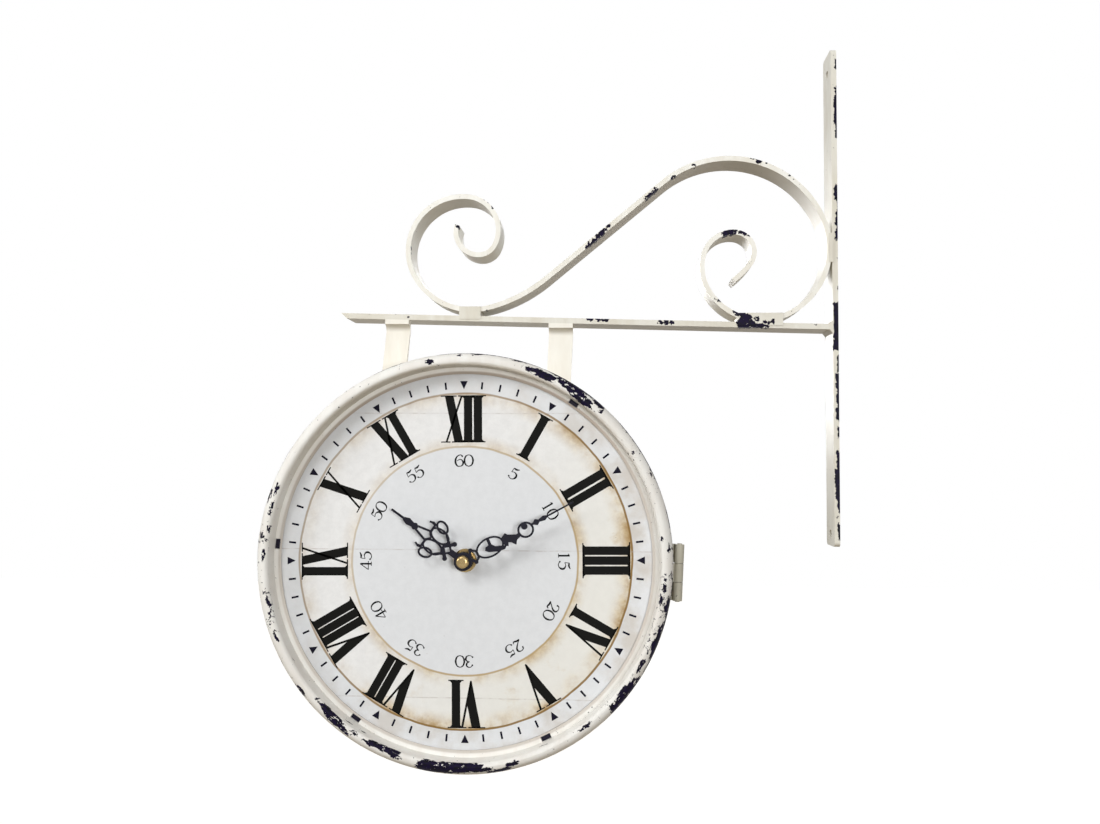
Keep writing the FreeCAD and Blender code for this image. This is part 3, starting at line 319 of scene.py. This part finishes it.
def speck_group():
    """Tiny chips and rubbed spots all over, more of them where Amount is high."""
    tree, n, i, o = new_group("specks", [("Point", "v"), ("Amount", "f")], [("Mask", "f"), ("Tone", "f")])
    spots = n.noise(i["Point"], 520.0, 2.0, 0.7)
    where = n.noise(i["Point"], 45.0, 2.0)
    level = n.sub(n.sub(0.83, n.mul(i["Amount"], 0.12)), n.mul(where, 0.16))
    n.put(o["Mask"], n.ramp(spots, level, n.add(level, 0.02)))
    streak = n.noise(n.vec("MULTIPLY", i["Point"], (1.0, 0.6, 0.25)), 160.0, 3.0, 0.6)
    cloud = n.noise(i["Point"], 26.0, 3.0, 0.55)
    n.put(o["Tone"], n.add(n.mul(streak, 0.45), n.mul(cloud, 0.55)))
    return tree


# soft edges of the rim's zones, from and to
ROLL_STARTS = (0.0992, 0.1000)     # radius
ROLL_ENDS = (-0.0345, -0.0330)     # y behind it
OUTER_SIDE = (0.1080, 0.1084)      # radius
INNER_WALL = (0.1016, 0.1004)      # radius, inward


def rim_group(chips):
    """Everything that differs over a rim: chips, worn paint and painted shade on the inner wall, the rear
    one turned half round onto the front one.
    """
    tree, n, i, o = new_group("rim_look", [("Point", "v")], [("Chip", "f"), ("Outer", "f"), ("InnerShade", "f")])
    x, y, z = n.split(i["Point"])
    rear = n.math("GREATER_THAN", y, 0.0)
    side = n.ramp(rear, 0.0, 1.0, 1.0, -1.0)
    px = n.mul(n.sub(x, HUB[0]), side)
    py = n.mul(y, side)
    pz = n.sub(z, HUB[1])
    radius = n.vec("LENGTH", n.join(px, 0.0, pz))
    angle = n.math("WRAP", n.add(n.math("ARCTAN2", px, pz), SEAM), math.tau, 0.0)
    off = n.sub(radius, ROLL_AT[0])
    round_roll = n.math("ARCTAN2", off, n.sub(ROLL_AT[1], py))
    placed = n.join(n.mul(angle, RIM_R * ALONG), n.mul(round_roll, ROLL_R), 0.0)
    chip = n.group(chips, Placed=placed)["Mask"]
    on_roll = n.mul(n.ramp(radius, *ROLL_STARTS), n.ramp(py, *ROLL_ENDS, 1.0, 0.0))
    point = n.join(px, py, pz)
    # small spots, thick on the rim's two sides
    sides = n.ramp(n.math("ABSOLUTE", px), 0.070, 0.100)
    zone = n.mul(n.ramp(n.noise(point, 40.0, 2.0), 0.42, 0.60), sides)
    spots = n.noise(point, 330.0, 4.0, 0.75)
    level = n.sub(0.70, n.mul(zone, 0.135))
    spot = n.mul(n.ramp(spots, level, n.add(level, 0.012)), n.ramp(round_roll, -0.9, -0.5))
    # paint worn off the roll's outer side
    ragged = n.sub(n.noise(point, 420.0, 3.0, 0.65), 0.5)
    behind = n.add(round_roll, n.mul(ragged, 0.6))
    strip = n.mul(n.ramp(behind, 1.15, 1.20), n.ramp(behind, 1.60, 1.80, 1.0, 0.0))
    worn = n.mul(strip, n.ramp(n.noise(point, 34.0, 1.0), 0.45, 0.51))
    n.put(o["Chip"], n.mul(n.top(chip, spot), on_roll))
    n.put(o["Outer"], n.mul(worn, n.ramp(radius, *OUTER_SIDE)))
    # painted shade on the wall inside the roll, most of it at the top, where the wall faces down
    high = n.ramp(pz, 0.020, 0.085, 0.58, 1.0)
    n.put(o["InnerShade"], n.mul(n.ramp(radius, *INNER_WALL), high))
    return tree


DRAWN_BACK = 0.30                  # a bar's depth counts for this much when its chips run over it


def bar_group(chips):
    """Chips of the bars, drawn out from front to back."""
    tree, n, i, o = new_group("bar_look", [("Point", "v")], [("Mask", "f")])
    x, y, z = n.split(i["Point"])
    placed = n.join(x, n.mul(n.sub(y, BAR_FRONT), DRAWN_BACK), z)
    n.put(o["Mask"], n.group(chips, Placed=placed)["Mask"])
    return tree


def surface(name, colour, rough, metal=0.0, coat=0.0, shine=0.5):
    """A material with its shader; returns the material, its node helper and the shader."""
    mat = bpy.data.materials.new(name)
    mat.use_nodes = True
    n = Nodes(mat.node_tree)
    shader = mat.node_tree.nodes["Principled BSDF"]
    shader.inputs["Base Color"].default_value = colour
    shader.inputs["Roughness"].default_value = rough
    shader.inputs["Metallic"].default_value = metal
    shader.inputs["Coat Weight"].default_value = coat
    shader.inputs["Specular IOR Level"].default_value = shine
    mat.diffuse_color = colour
    return mat, n, shader


def bump(n, shader, height, depth, strength=1.0):
    node = n.new("ShaderNodeBump")
    node.inputs["Strength"].default_value = strength
    node.inputs["Distance"].default_value = depth
    n.put(node.inputs["Height"], height)
    n.put(shader.inputs["Normal"], node.outputs[0])


def point_of(n):
    return n.new("ShaderNodeTexCoord").outputs["Object"]


SPECKS = speck_group()
RIM = rim_group(blob_group("rim_chips", RIM_CHIPS, rim_find, rim_place, 0.0032))
BARS = bar_group(blob_group("bar_chips", BAR_CHIPS, bar_find, bar_place, 0.0016))
POST = post_group()


def painted(name, light, dark, amount, chips=(), rough=0.42, recess_shade=None):
    """Old cream paint over a navy base, with painted shade on surfaces that face down and, where given, on
    the rim's inner wall.
    """
    mat, n, shader = surface(name, light, rough, shine=0.08)
    point = point_of(n)
    specks = n.group(SPECKS, Point=point, Amount=amount)
    paint = n.mix(n.ramp(specks["Tone"], 0.36, 0.66), dark, light)
    # painted shade: surfaces that face down are mixed toward a darker tan, up to 0.6, in place of the shade
    # under them
    under = n.ramp(n.split(n.new("ShaderNodeNewGeometry").outputs["Normal"])[2], -0.15, -0.85, 0.0, 0.6)
    paint = n.mix(under, paint, UNDERSIDE_PAINTED_SHADE)
    # painted shade on the rim's inner wall, strongest at the top where the wall faces down
    if recess_shade:
        paint = n.mix(n.group(recess_shade, Point=point)["InnerShade"], paint, RECESS_PAINTED_SHADE)
    mask = specks["Mask"]
    for tree, key in chips:
        mask = n.top(mask, n.group(tree, Point=point)[key])
    base = n.mix(n.ramp(n.noise(point, 600.0, 2.0), 0.35, 0.7), NAVY, SOOT)
    n.put(shader.inputs["Base Color"], n.mix(mask, paint, base))
    n.put(shader.inputs["Roughness"], n.ramp(mask, 0.0, 1.0, rough, 0.5))
    bump(n, shader, n.sub(n.mul(specks["Tone"], 0.08), mask), 0.00010, 0.7)
    return mat


UNEVEN = 0.86                      # the darker patches' share of a colour


def plain(name, colour, rough, metal=0.0, coat=0.0, grain=0.0, scale=900.0, shine=0.5):
    """One colour, with a slight unevenness of tone and grain."""
    mat, n, shader = surface(name, colour, rough, metal, coat, shine)
    point = point_of(n)
    tone = n.noise(point, scale, 2.0)
    darker = tuple(c * UNEVEN for c in colour[:3]) + (1.0,)
    n.put(shader.inputs["Base Color"], n.mix(n.ramp(tone, 0.35, 0.65), darker, colour))
    n.put(shader.inputs["Roughness"], n.ramp(tone, 0.3, 0.7, rough * 0.88, rough * 1.12))
    if grain:
        bump(n, shader, tone, grain)
    return mat


# the dial's print, radii in metres
SOFT = 0.0004                      # a drawn circle's soft edge
IN_CIRCLE = (0.0604, 0.0610)
OUT_CIRCLE = (0.0889, 0.0896)
BAND = (0.0605, 0.0897)            # the aged ground between them
BAND_SOFT = 0.0005
STAIN_IN = (0.0606, 0.0690)        # stains fade outward from the inner circle
STAIN_OUT = (0.0790, 0.0893)       # and grow toward the outer one
BURN_FROM = 0.0850
BOARD_SEAMS = (0.0785, 0.0055, -0.0725)    # heights over the print's middle
PRINTED_SIDE = (0.0272, 0.0276)    # y from the object's middle, between the board's back and its face
PAPER = rgb(221, 222, 223)
BAND_WHITE = (rgb(225, 225, 224), rgb(233, 233, 232))
BAND_WARM = rgb(228, 226, 216)
MIDDLE_WHITE = (rgb(218, 220, 222), rgb(223, 225, 227))
STAIN_BROWN = (rgb(178, 146, 92), rgb(212, 192, 148))
BURN_BROWN = rgb(140, 104, 56)
OUTER_GREY = rgb(188, 178, 164)
OUT_CIRCLE_INK = rgb(132, 102, 52)
IN_CIRCLE_INK = rgb(176, 150, 104)
SEAM_GREY = rgb(168, 158, 150)
DOT_BROWN = rgb(120, 92, 62)
BARE_BOARD = (rgb(150, 124, 92), rgb(172, 146, 112))


def dial_paper(name):
    """The dial's printed ground: white, aged, with its two circles."""
    mat, n, shader = surface(name, PAPER, 0.5, shine=0.2)
    x, y, z = n.split(point_of(n))
    rear = n.math("GREATER_THAN", y, 0.0)
    side = n.ramp(rear, 0.0, 1.0, 1.0, -1.0)
    px = n.mul(n.sub(x, n.add(HUB[0], n.mul(side, ART[0] - HUB[0]))), side)
    pz = n.sub(z, ART[1])
    flat = n.join(px, 0.0, pz)
    radius = n.vec("LENGTH", flat)
    wave = n.mul(n.sub(n.noise(flat, 60.0, 2.0), 0.5), 0.0012)
    r = n.add(radius, wave)
    # stains: strongest to the right and the lower right, along both circles
    angle = n.add(n.mul(px, 0.80), n.mul(pz, -0.60))
    lean = n.ramp(angle, -0.080, 0.060, 0.24, 1.0)
    right = n.ramp(angle, -0.030, 0.070)
    cloud = n.noise(flat, 38.0, 5.0, 0.62)
    fine = n.noise(flat, 210.0, 4.0, 0.7)
    in_band = n.mul(n.ramp(radius, BAND[0], BAND[0] + BAND_SOFT),
                    n.ramp(radius, BAND[1] - BAND_SOFT, BAND[1], 1.0, 0.0))
    near_in = n.ramp(r, *STAIN_IN, 1.0, 0.0)
    near_out = n.ramp(r, *STAIN_OUT)
    edges = n.math("MINIMUM", n.add(n.mul(near_in, 0.85), near_out), 1.0)
    stain = n.mul(n.mul(edges, n.ramp(cloud, 0.36, 0.62, 0.15, 1.0)), n.add(n.mul(lean, 0.85), 0.10))
    patch = n.mul(n.ramp(cloud, 0.53, 0.70), n.mul(right, 0.60))
    stain = n.mul(n.top(stain, patch), in_band)
    white = n.mix(n.ramp(fine, 0.3, 0.7), *BAND_WHITE)
    middle = n.mix(n.ramp(fine, 0.3, 0.7), *MIDDLE_WHITE)
    warm = n.mix(in_band, middle, n.mix(n.mul(right, 0.6), white, BAND_WARM))
    aged = n.mix(stain, warm, n.mix(n.ramp(fine, 0.35, 0.7), *STAIN_BROWN))
    # darkest right at the outer circle
    at_circle = n.mul(n.ramp(r, BURN_FROM, STAIN_OUT[1]), in_band)
    burn = n.mul(at_circle, n.mul(n.ramp(cloud, 0.45, 0.60), lean))
    aged = n.mix(n.mul(burn, 0.6), aged, BURN_BROWN)
    # outside the chapter ring the ground greys and browns to the lower right
    beyond = n.ramp(radius, BAND[1], BAND[1] + BAND_SOFT)
    outer = n.mul(beyond, n.mul(n.ramp(cloud, 0.40, 0.66), lean))
    aged = n.mix(n.mul(outer, 0.60), aged, OUTER_GREY)
    # the circles' drawn edges
    for circle, weak, strong, ink in ((OUT_CIRCLE, 0.55, 0.95, OUT_CIRCLE_INK),
                                      (IN_CIRCLE, 0.45, 0.85, IN_CIRCLE_INK)):
        inside, outside = circle
        line = n.mul(n.ramp(r, inside - SOFT, inside), n.ramp(r, outside, outside + SOFT, 1.0, 0.0))
        aged = n.mix(n.mul(line, n.ramp(lean, 0.0, 1.0, weak, strong)), aged, ink)
    # three faint seams as of boards, and dark specks
    for height in BOARD_SEAMS:
        gap = n.math("ABSOLUTE", n.add(n.sub(pz, height), n.mul(n.sub(cloud, 0.5), 0.0010)))
        seam = n.mul(n.ramp(gap, 0.0001, 0.0005, 1.0, 0.0), n.ramp(fine, 0.40, 0.60, 0.10, 0.42))
        aged = n.mix(seam, aged, SEAM_GREY)
    dots = n.mul(n.ramp(n.noise(flat, 640.0, 1.0), 0.74, 0.78), n.ramp(cloud, 0.52, 0.66))
    aged = n.mix(n.mul(dots, n.mul(lean, 0.7)), aged, DOT_BROWN)
    # bare board behind the print
    board = n.mix(n.ramp(fine, 0.3, 0.7), *BARE_BOARD)
    printed = n.ramp(n.math("ABSOLUTE", y), *PRINTED_SIDE)
    n.put(shader.inputs["Base Color"], n.mix(printed, board, aged))
    return mat


CREAM = rgb(230, 228, 218)
CREAM_DARK = rgb(216, 211, 197)
RIM_LIGHT = rgb(236, 235, 230)
RIM_DARK = rgb(227, 223, 216)
LOOKS = {
    "bracket_paint": painted("bracket_paint", CREAM, CREAM_DARK, 0.10, ((BARS, "Mask"), (POST, "Mask"))),
    # scroll_paint and strap_paint are lighter copies of the bracket's cream: painted light, for their
    # brightly lit front faces
    "scroll_paint": painted("scroll_paint", rgb(244, 243, 236), rgb(231, 227, 215), 0.10, ((BARS, "Mask"),)),
    "strap_paint": painted("strap_paint", rgb(244, 241, 231), rgb(236, 231, 219), 0.10, ((BARS, "Mask"),)),
    "drum_paint": painted("drum_paint", RIM_LIGHT, RIM_DARK, 0.35),
    "rim_paint": painted("rim_paint", RIM_LIGHT, RIM_DARK, 0.30, ((RIM, "Chip"), (RIM, "Outer")), 0.34, RIM),
    "hinge_paint": painted("hinge_paint", rgb(196, 192, 176), rgb(176, 172, 156), 0.2),
    "painted_screw": painted("painted_screw", CREAM, CREAM_DARK, 0.3),
    "zinc_steel": plain("zinc_steel", rgb(176, 178, 178), 0.35, 1.0, grain=0.00002),
    "spring_steel": plain("spring_steel", rgb(150, 152, 158), 0.30, 1.0),
    "clip_steel": plain("clip_steel", rgb(14, 8, 30), 0.5, shine=0.2),
    "dial_print": dial_paper("dial_print"),
    "hand_black": plain("hand_black", rgb(9, 8, 24), 0.4, shine=0.2),
    "brass": plain("brass", rgb(160, 139, 98), 0.26, 1.0, grain=0.00001, scale=500.0),
    "black_plastic": plain("black_plastic", rgb(26, 26, 27), 0.5, grain=0.00003),
    "white_plastic": plain("white_plastic", rgb(224, 222, 212), 0.4),
    "black_rubber": plain("black_rubber", rgb(22, 22, 22), 0.8),
    "copper_wire": plain("copper_wire", rgb(176, 96, 52), 0.35, 1.0, grain=0.0001, scale=1500.0),
    "green_board": plain("green_board", rgb(22, 88, 48), 0.35),
    "battery_wrap": plain("battery_wrap", rgb(44, 50, 58), 0.25, coat=0.5),
}
INK = {
    "ink_numeral": plain("ink_numeral", rgb(13, 13, 11), 0.6, shine=0.08),
    "ink_mark": plain("ink_mark", rgb(20, 18, 34), 0.6, shine=0.08),
    "ink_thin": plain("ink_thin", rgb(28, 28, 30), 0.6, shine=0.08),
}
SLOT_OF = {part["node"]: part["material_slot"] for part in frame["record"]["subparts"]}
for node_name, node in frame["nodes"].items():
    node.data.materials.clear()
    node.data.materials.append(LOOKS[SLOT_OF[node_name]])


# ---- the dial's print -------------------------------------------------------
def dial_point(x, y, turn):
    """A point drawn x to the right and y outward, in mm, on the print's spoke at turn degrees."""
    a = math.radians(turn)
    return (x * math.cos(a) + y * math.sin(a), y * math.cos(a) - x * math.sin(a))


class Print:
    """Flat shapes on both dials, as one thin mesh for each."""

    def __init__(self, name, ink):
        self.name = name
        self.ink = ink
        self.shapes = []

    def shape(self, points, turn):
        self.shapes.append([dial_point(x, y, turn) for x, y in points])

    def band(self, spine, turn, x0=0.0, y0=0.0):
        """A stroke of changing width: spine is a list of x, y and width."""
        points = smooth(spine)
        left, right = [], []
        for k, (x, y, w) in enumerate(points):
            ax, ay = points[max(k - 1, 0)][:2]
            bx, by = points[min(k + 1, len(points) - 1)][:2]
            size = math.hypot(bx - ax, by - ay) or 1.0
            ox, oy = -(by - ay) / size * w * BOLD / 2, (bx - ax) / size * w * BOLD / 2
            left.append((x0 + x + ox, y0 + y + oy))
            right.append((x0 + x - ox, y0 + y - oy))
        for k in range(len(points) - 1):
            self.shape([left[k], left[k + 1], right[k + 1], right[k]], turn)

    def dot(self, x, y, r, turn, sides=14):
        turns = [k * math.tau / sides for k in range(sides)]
        self.shape([(x + r * math.cos(a), y + r * math.sin(a)) for a in turns], turn)

    def build(self):
        for side, body in ((1, "door"), (-1, "bracket")):
            bm = bmesh.new()
            tilt = math.radians(ART_TILT)
            for points in self.shapes:
                verts = []
                for x, z in points:
                    rx = x * math.cos(tilt) + z * math.sin(tilt)
                    rz = z * math.cos(tilt) - x * math.sin(tilt)
                    wx = HUB[0] + side * (ART[0] - HUB[0] + rx * MM)
                    verts.append(bm.verts.new((wx, side * (DIAL_Y - PRINT_T), ART[1] + rz * MM)))
                face = bm.faces.new(verts)
                face.normal_update()
                if face.normal.y * side > 0:
                    face.normal_flip()
            label = ("front_" if side > 0 else "rear_") + self.name
            mesh = bpy.data.meshes.new(label)
            bm.to_mesh(mesh)
            bm.free()
            piece = bpy.data.objects.new(label, mesh)
            bpy.context.scene.collection.objects.link(piece)
            mesh.materials.append(INK[self.ink])
            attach(piece, body)


def smooth(spine, steps=5):
    """Points on a soft curve through the spine's points."""
    if len(spine) < 3:
        return list(spine)
    out = []
    for k in range(len(spine) - 1):
        p = [spine[max(k - 1, 0)], spine[k], spine[k + 1], spine[min(k + 2, len(spine) - 1)]]
        for s in range(steps):
            t = s / steps
            out.append(tuple(
                0.5 * (2 * b + (c - a) * t + (2 * a - 5 * b + 4 * c - d) * t * t
                       + (3 * b - a - 3 * c + d) * t ** 3)
                for a, b, c, d in zip(*p)))
    out.append(spine[-1])
    return out


# numerals: each letter and where its middle stands beside the spoke, mm
NUMERALS = {
    0: (("X", -5.4), ("I", 2.2), ("I", 7.5)), 1: (("I", 0.0),), 2: (("I", -2.9), ("I", 2.6)),
    3: (("I", -5.1), ("I", 0.1), ("I", 5.3)), 4: (("I", -6.1), ("V", 2.9)), 5: (("V", 0.0),),
    6: (("V", -2.6), ("I", 4.7)), 7: (("V", -4.6), ("I", 3.2), ("I", 8.2)),
    8: (("V", -7.0), ("I", 0.3), ("I", 5.3), ("I", 10.3)), 9: (("I", -5.7), ("X", 2.6)), 10: (("X", 0.1),),
    11: (("X", -3.0), ("I", 4.9)),
}
LOW, HIGH = 62.9, 88.2             # the numerals' foot and head, mm from the middle
STEM = 2.25                        # half of the I's stroke
CROTCH = (1.25, 76.6)              # where the V's strokes part
LETTERS = {
    "I": ([(-STEM, LOW), (STEM, LOW), (STEM, HIGH), (-STEM, HIGH)],),
    "X": ([(-5.0, HIGH), (-0.3, HIGH), (5.0, LOW), (0.2, LOW)],
          [(3.7, HIGH), (4.8, HIGH), (-3.6, LOW), (-4.7, LOW)]),
    "V": ([(-5.9, HIGH), (-1.1, HIGH), CROTCH, (-0.3, LOW + 0.5), (-1.1, LOW + 0.5)],
          [(3.5, HIGH), (4.7, HIGH), (-0.3, LOW + 0.5), (-0.9, LOW + 2.5), CROTCH]),
}
# serifs: from and to across the letter, and the end that they close
SERIFS = {
    "I": ((-4.5, 4.5, HIGH), (-4.1, 4.1, LOW)),
    "X": ((-7.2, 1.4, HIGH), (2.2, 7.0, HIGH), (-7.0, -1.9, LOW), (-1.2, 7.0, LOW)),
    "V": ((-8.3, 0.7, HIGH), (1.7, 6.8, HIGH)),
}
SERIF_T = 0.62
FILLET = 1.0                       # between the I's stroke and its serifs

numerals = Print("dial_numerals", "ink_numeral")
for hour, letters in NUMERALS.items():
    for letter, at in letters:
        for outline in LETTERS[letter]:
            numerals.shape([(at + x, y) for x, y in outline], hour * 30)
        for x0, x1, y in SERIFS[letter]:
            inward = -1 if y == HIGH else 1
            thick = SERIF_T * inward
            under = y + thick
            numerals.shape([(at + x0, y), (at + x1, y), (at + x1, under), (at + x0, under)], hour * 30)
            if letter == "I":
                for s in (-1, 1):
                    edge = at + s * STEM
                    corner = [(edge, under), (edge + s * FILLET, under), (edge, under + inward)]
                    numerals.shape(corner, hour * 30)
numerals.build()

# the minute marks: half width, inner end and outer end, mm
STROKE = (0.52, 91.8, 95.7)
WEDGE = (2.05, 91.5, 95.9)
marks = Print("dial_marks", "ink_mark")
for minute in range(60):
    half, near, far = STROKE if minute % 5 else WEDGE
    if minute % 5:
        marks.shape([(-half, near), (half, near), (half, far), (-half, far)], minute * 6)
    else:
        marks.shape([(0, near), (half, far), (-half, far)], minute * 6)
marks.build()

# digits by strokes, x and y from the middle of the foot, and width, mm
DIGITS = {
    "1": ([(0, 0, 0.75), (0, 6.1, 0.75)],
          [(-1.1, 0.15, 0.3), (1.1, 0.15, 0.3)],
          [(0.1, 6.1, 0.3), (-1.0, 5.3, 0.35)]),
    "2": ([(-1.7, 4.7, 0.5), (-1.4, 5.7, 0.45), (0.0, 6.25, 0.35), (1.5, 5.6, 0.7), (1.6, 4.2, 0.8),
           (0.2, 2.3, 0.5), (-1.8, 0.5, 0.35)],
          [(-1.9, 0.45, 0.5), (-0.4, 0.6, 0.8), (1.4, 0.25, 0.6), (2.0, 1.2, 0.3)]),
    "3": ([(-1.6, 5.2, 0.4), (-0.8, 6.1, 0.35), (0.6, 6.2, 0.5), (1.5, 5.2, 0.75), (1.1, 3.9, 0.6),
           (-0.1, 3.4, 0.3)],
          [(-0.1, 3.4, 0.3), (1.4, 2.9, 0.6), (1.9, 1.7, 0.85), (1.2, 0.5, 0.55), (-0.3, 0.1, 0.35),
           (-1.7, 0.8, 0.4)]),
    "4": ([(0.8, 6.2, 0.4), (-2.3, 1.8, 0.35)],
          [(-2.3, 1.8, 0.35), (2.3, 1.8, 0.35)],
          [(0.8, 0, 0.75), (0.8, 6.2, 0.75)],
          [(-0.3, 0.15, 0.3), (1.9, 0.15, 0.3)]),
    "5": ([(-1.1, 5.9, 0.5), (0.4, 5.7, 0.8), (2.0, 6.4, 0.3)],
          [(-1.1, 6.0, 0.3), (-1.4, 3.5, 0.3)],
          [(-1.4, 3.5, 0.3), (0.2, 4.0, 0.4), (1.7, 3.2, 0.75), (1.9, 1.8, 0.85), (1.0, 0.5, 0.5),
           (-0.5, 0.1, 0.35), (-1.8, 0.8, 0.4)]),
    "6": ([(1.6, 5.6, 0.5), (0.6, 6.2, 0.4), (-0.9, 5.7, 0.5), (-2.0, 4.1, 0.8), (-2.1, 2.0, 0.85),
           (-1.2, 0.4, 0.6), (0.0, 0.1, 0.35), (1.4, 0.6, 0.6), (2.0, 2.0, 0.8), (1.3, 3.4, 0.5),
           (0.1, 3.8, 0.35), (-1.4, 3.0, 0.3)],),
    "0": ([(0, 0.1, 0.35), (1.6, 0.9, 0.6), (2.3, 3.15, 0.8), (1.6, 5.4, 0.6), (0, 6.2, 0.35),
           (-1.6, 5.4, 0.6), (-2.3, 3.15, 0.8), (-1.6, 0.9, 0.6), (0, 0.1, 0.35)],),
}
# round ends of strokes
BALLS = {"2": ((-1.6, 4.8),), "3": ((-1.6, 5.2), (-1.7, 0.9)), "5": ((-1.8, 0.9),), "6": ((1.5, 5.5),)}
BALL_R = 0.45
FOOT = 50.05                       # the digits' foot, mm from the middle
DIGIT_STEP = 5.0
minutes = Print("dial_minutes", "ink_thin")
for step in range(12):
    text = str(step * 5 or 60)
    for k, digit in enumerate(text):
        x0 = (k - (len(text) - 1) / 2) * DIGIT_STEP
        for stroke in DIGITS[digit]:
            minutes.band(stroke, step * 30, x0, FOOT)
        for bx, by in BALLS.get(digit, ()):
            minutes.dot(x0 + bx, FOOT + by, BALL_R, step * 30)
minutes.build()


# ---- stage, light and camera ------------------------------------------------
STAGE_SHADE = (0.26, 0.21, 0.14, 1.0)    # what the floor throws back at the object
STAGE_GLOW = 0.95                  # what it shows, with its shadow on it
SKY_LIGHT = 0.20                   # how much the white surroundings light the object
FLOOR_Z, FLOOR_SIZE = -0.9, 6.0
# name, place, what it points at, width and power
LAMPS = (
    ("key", (-0.75, -1.15, 0.85), (-0.2, 0.0, -0.14), 0.5, 8.5),
    ("top", (-0.25, -0.25, 1.10), (-0.2, 0.0, 0.0), 0.9, 0.8),
    ("front", (0.30, -1.45, -0.05), (-0.2, 0.0, -0.1), 0.4, 10.0),
    ("back", (-0.30, 1.50, 0.20), (-0.2, 0.0, -0.1), 0.5, 10.0),
    ("left", (-1.30, -0.60, 0.30), (-0.2, 0.0, -0.05), 0.5, 6.5),
)
SENSOR = 36.0                      # the camera's, mm


def looked_at(n):
    """1 where the camera looks, also by way of a mirror or glass."""
    path = n.new("ShaderNodeLightPath").outputs
    return n.top(n.top(path["Is Camera Ray"], path["Is Glossy Ray"]), path["Is Transmission Ray"])


def stage_material():
    mat, n, shader = surface("stage_white", STAGE_SHADE, 0.9)
    out = mat.node_tree.nodes["Material Output"]
    glow = n.new("ShaderNodeEmission")
    glow.inputs["Color"].default_value = WHITE
    n.put(glow.inputs["Strength"], n.mul(looked_at(n), STAGE_GLOW))
    both = n.new("ShaderNodeAddShader")
    n.put(both.inputs[0], shader.outputs[0])
    n.put(both.inputs[1], glow.outputs[0])
    n.put(out.inputs["Surface"], both.outputs[0])
    return mat


def floor(z, size):
    bm = bmesh.new()
    bmesh.ops.create_grid(bm, x_segments=1, y_segments=1, size=size, matrix=Matrix.Translation((0, 0, z)))
    mesh = bpy.data.meshes.new("floor")
    bm.to_mesh(mesh)
    bm.free()
    mesh.materials.append(stage_material())
    piece = bpy.data.objects.new("floor", mesh)
    bpy.context.scene.collection.objects.link(piece)


def area_light(name, at, aim, size, power):
    data = bpy.data.lights.new(name, "AREA")
    data.shape = "DISK"
    data.size = size
    data.energy = power
    lamp = bpy.data.objects.new(name, data)
    bpy.context.scene.collection.objects.link(lamp)
    lamp.location = at
    lamp.rotation_mode = "QUATERNION"
    lamp.rotation_quaternion = (Vector(aim) - Vector(at)).to_track_quat("-Z", "Y")


def studio():
    world = bpy.data.worlds.new("studio")
    bpy.context.scene.world = world
    world.use_nodes = True
    n = Nodes(world.node_tree)
    sky = world.node_tree.nodes["Background"]
    sky.inputs["Color"].default_value = WHITE
    n.put(sky.inputs["Strength"], n.ramp(looked_at(n), 0.0, 1.0, SKY_LIGHT, 1.0))
    for lamp in LAMPS:
        area_light(*lamp)


def camera():
    data = bpy.data.cameras.new("camera")
    data.sensor_width = SENSOR
    data.lens = SENSOR * FOCAL / IMAGE[0]
    data.clip_start = 0.01
    data.clip_end = 50.0
    cam = bpy.data.objects.new("camera", data)
    bpy.context.scene.collection.objects.link(cam)
    turn = Matrix((CAM_RIGHT, CAM_UP, -CAM_AHEAD)).transposed()
    cam.matrix_world = Matrix.Translation(CAM_AT) @ turn.to_4x4()
    bpy.context.scene.camera = cam


floor(FLOOR_Z, FLOOR_SIZE)
studio()
camera()
bpy.context.scene.view_settings.view_transform = "Standard"
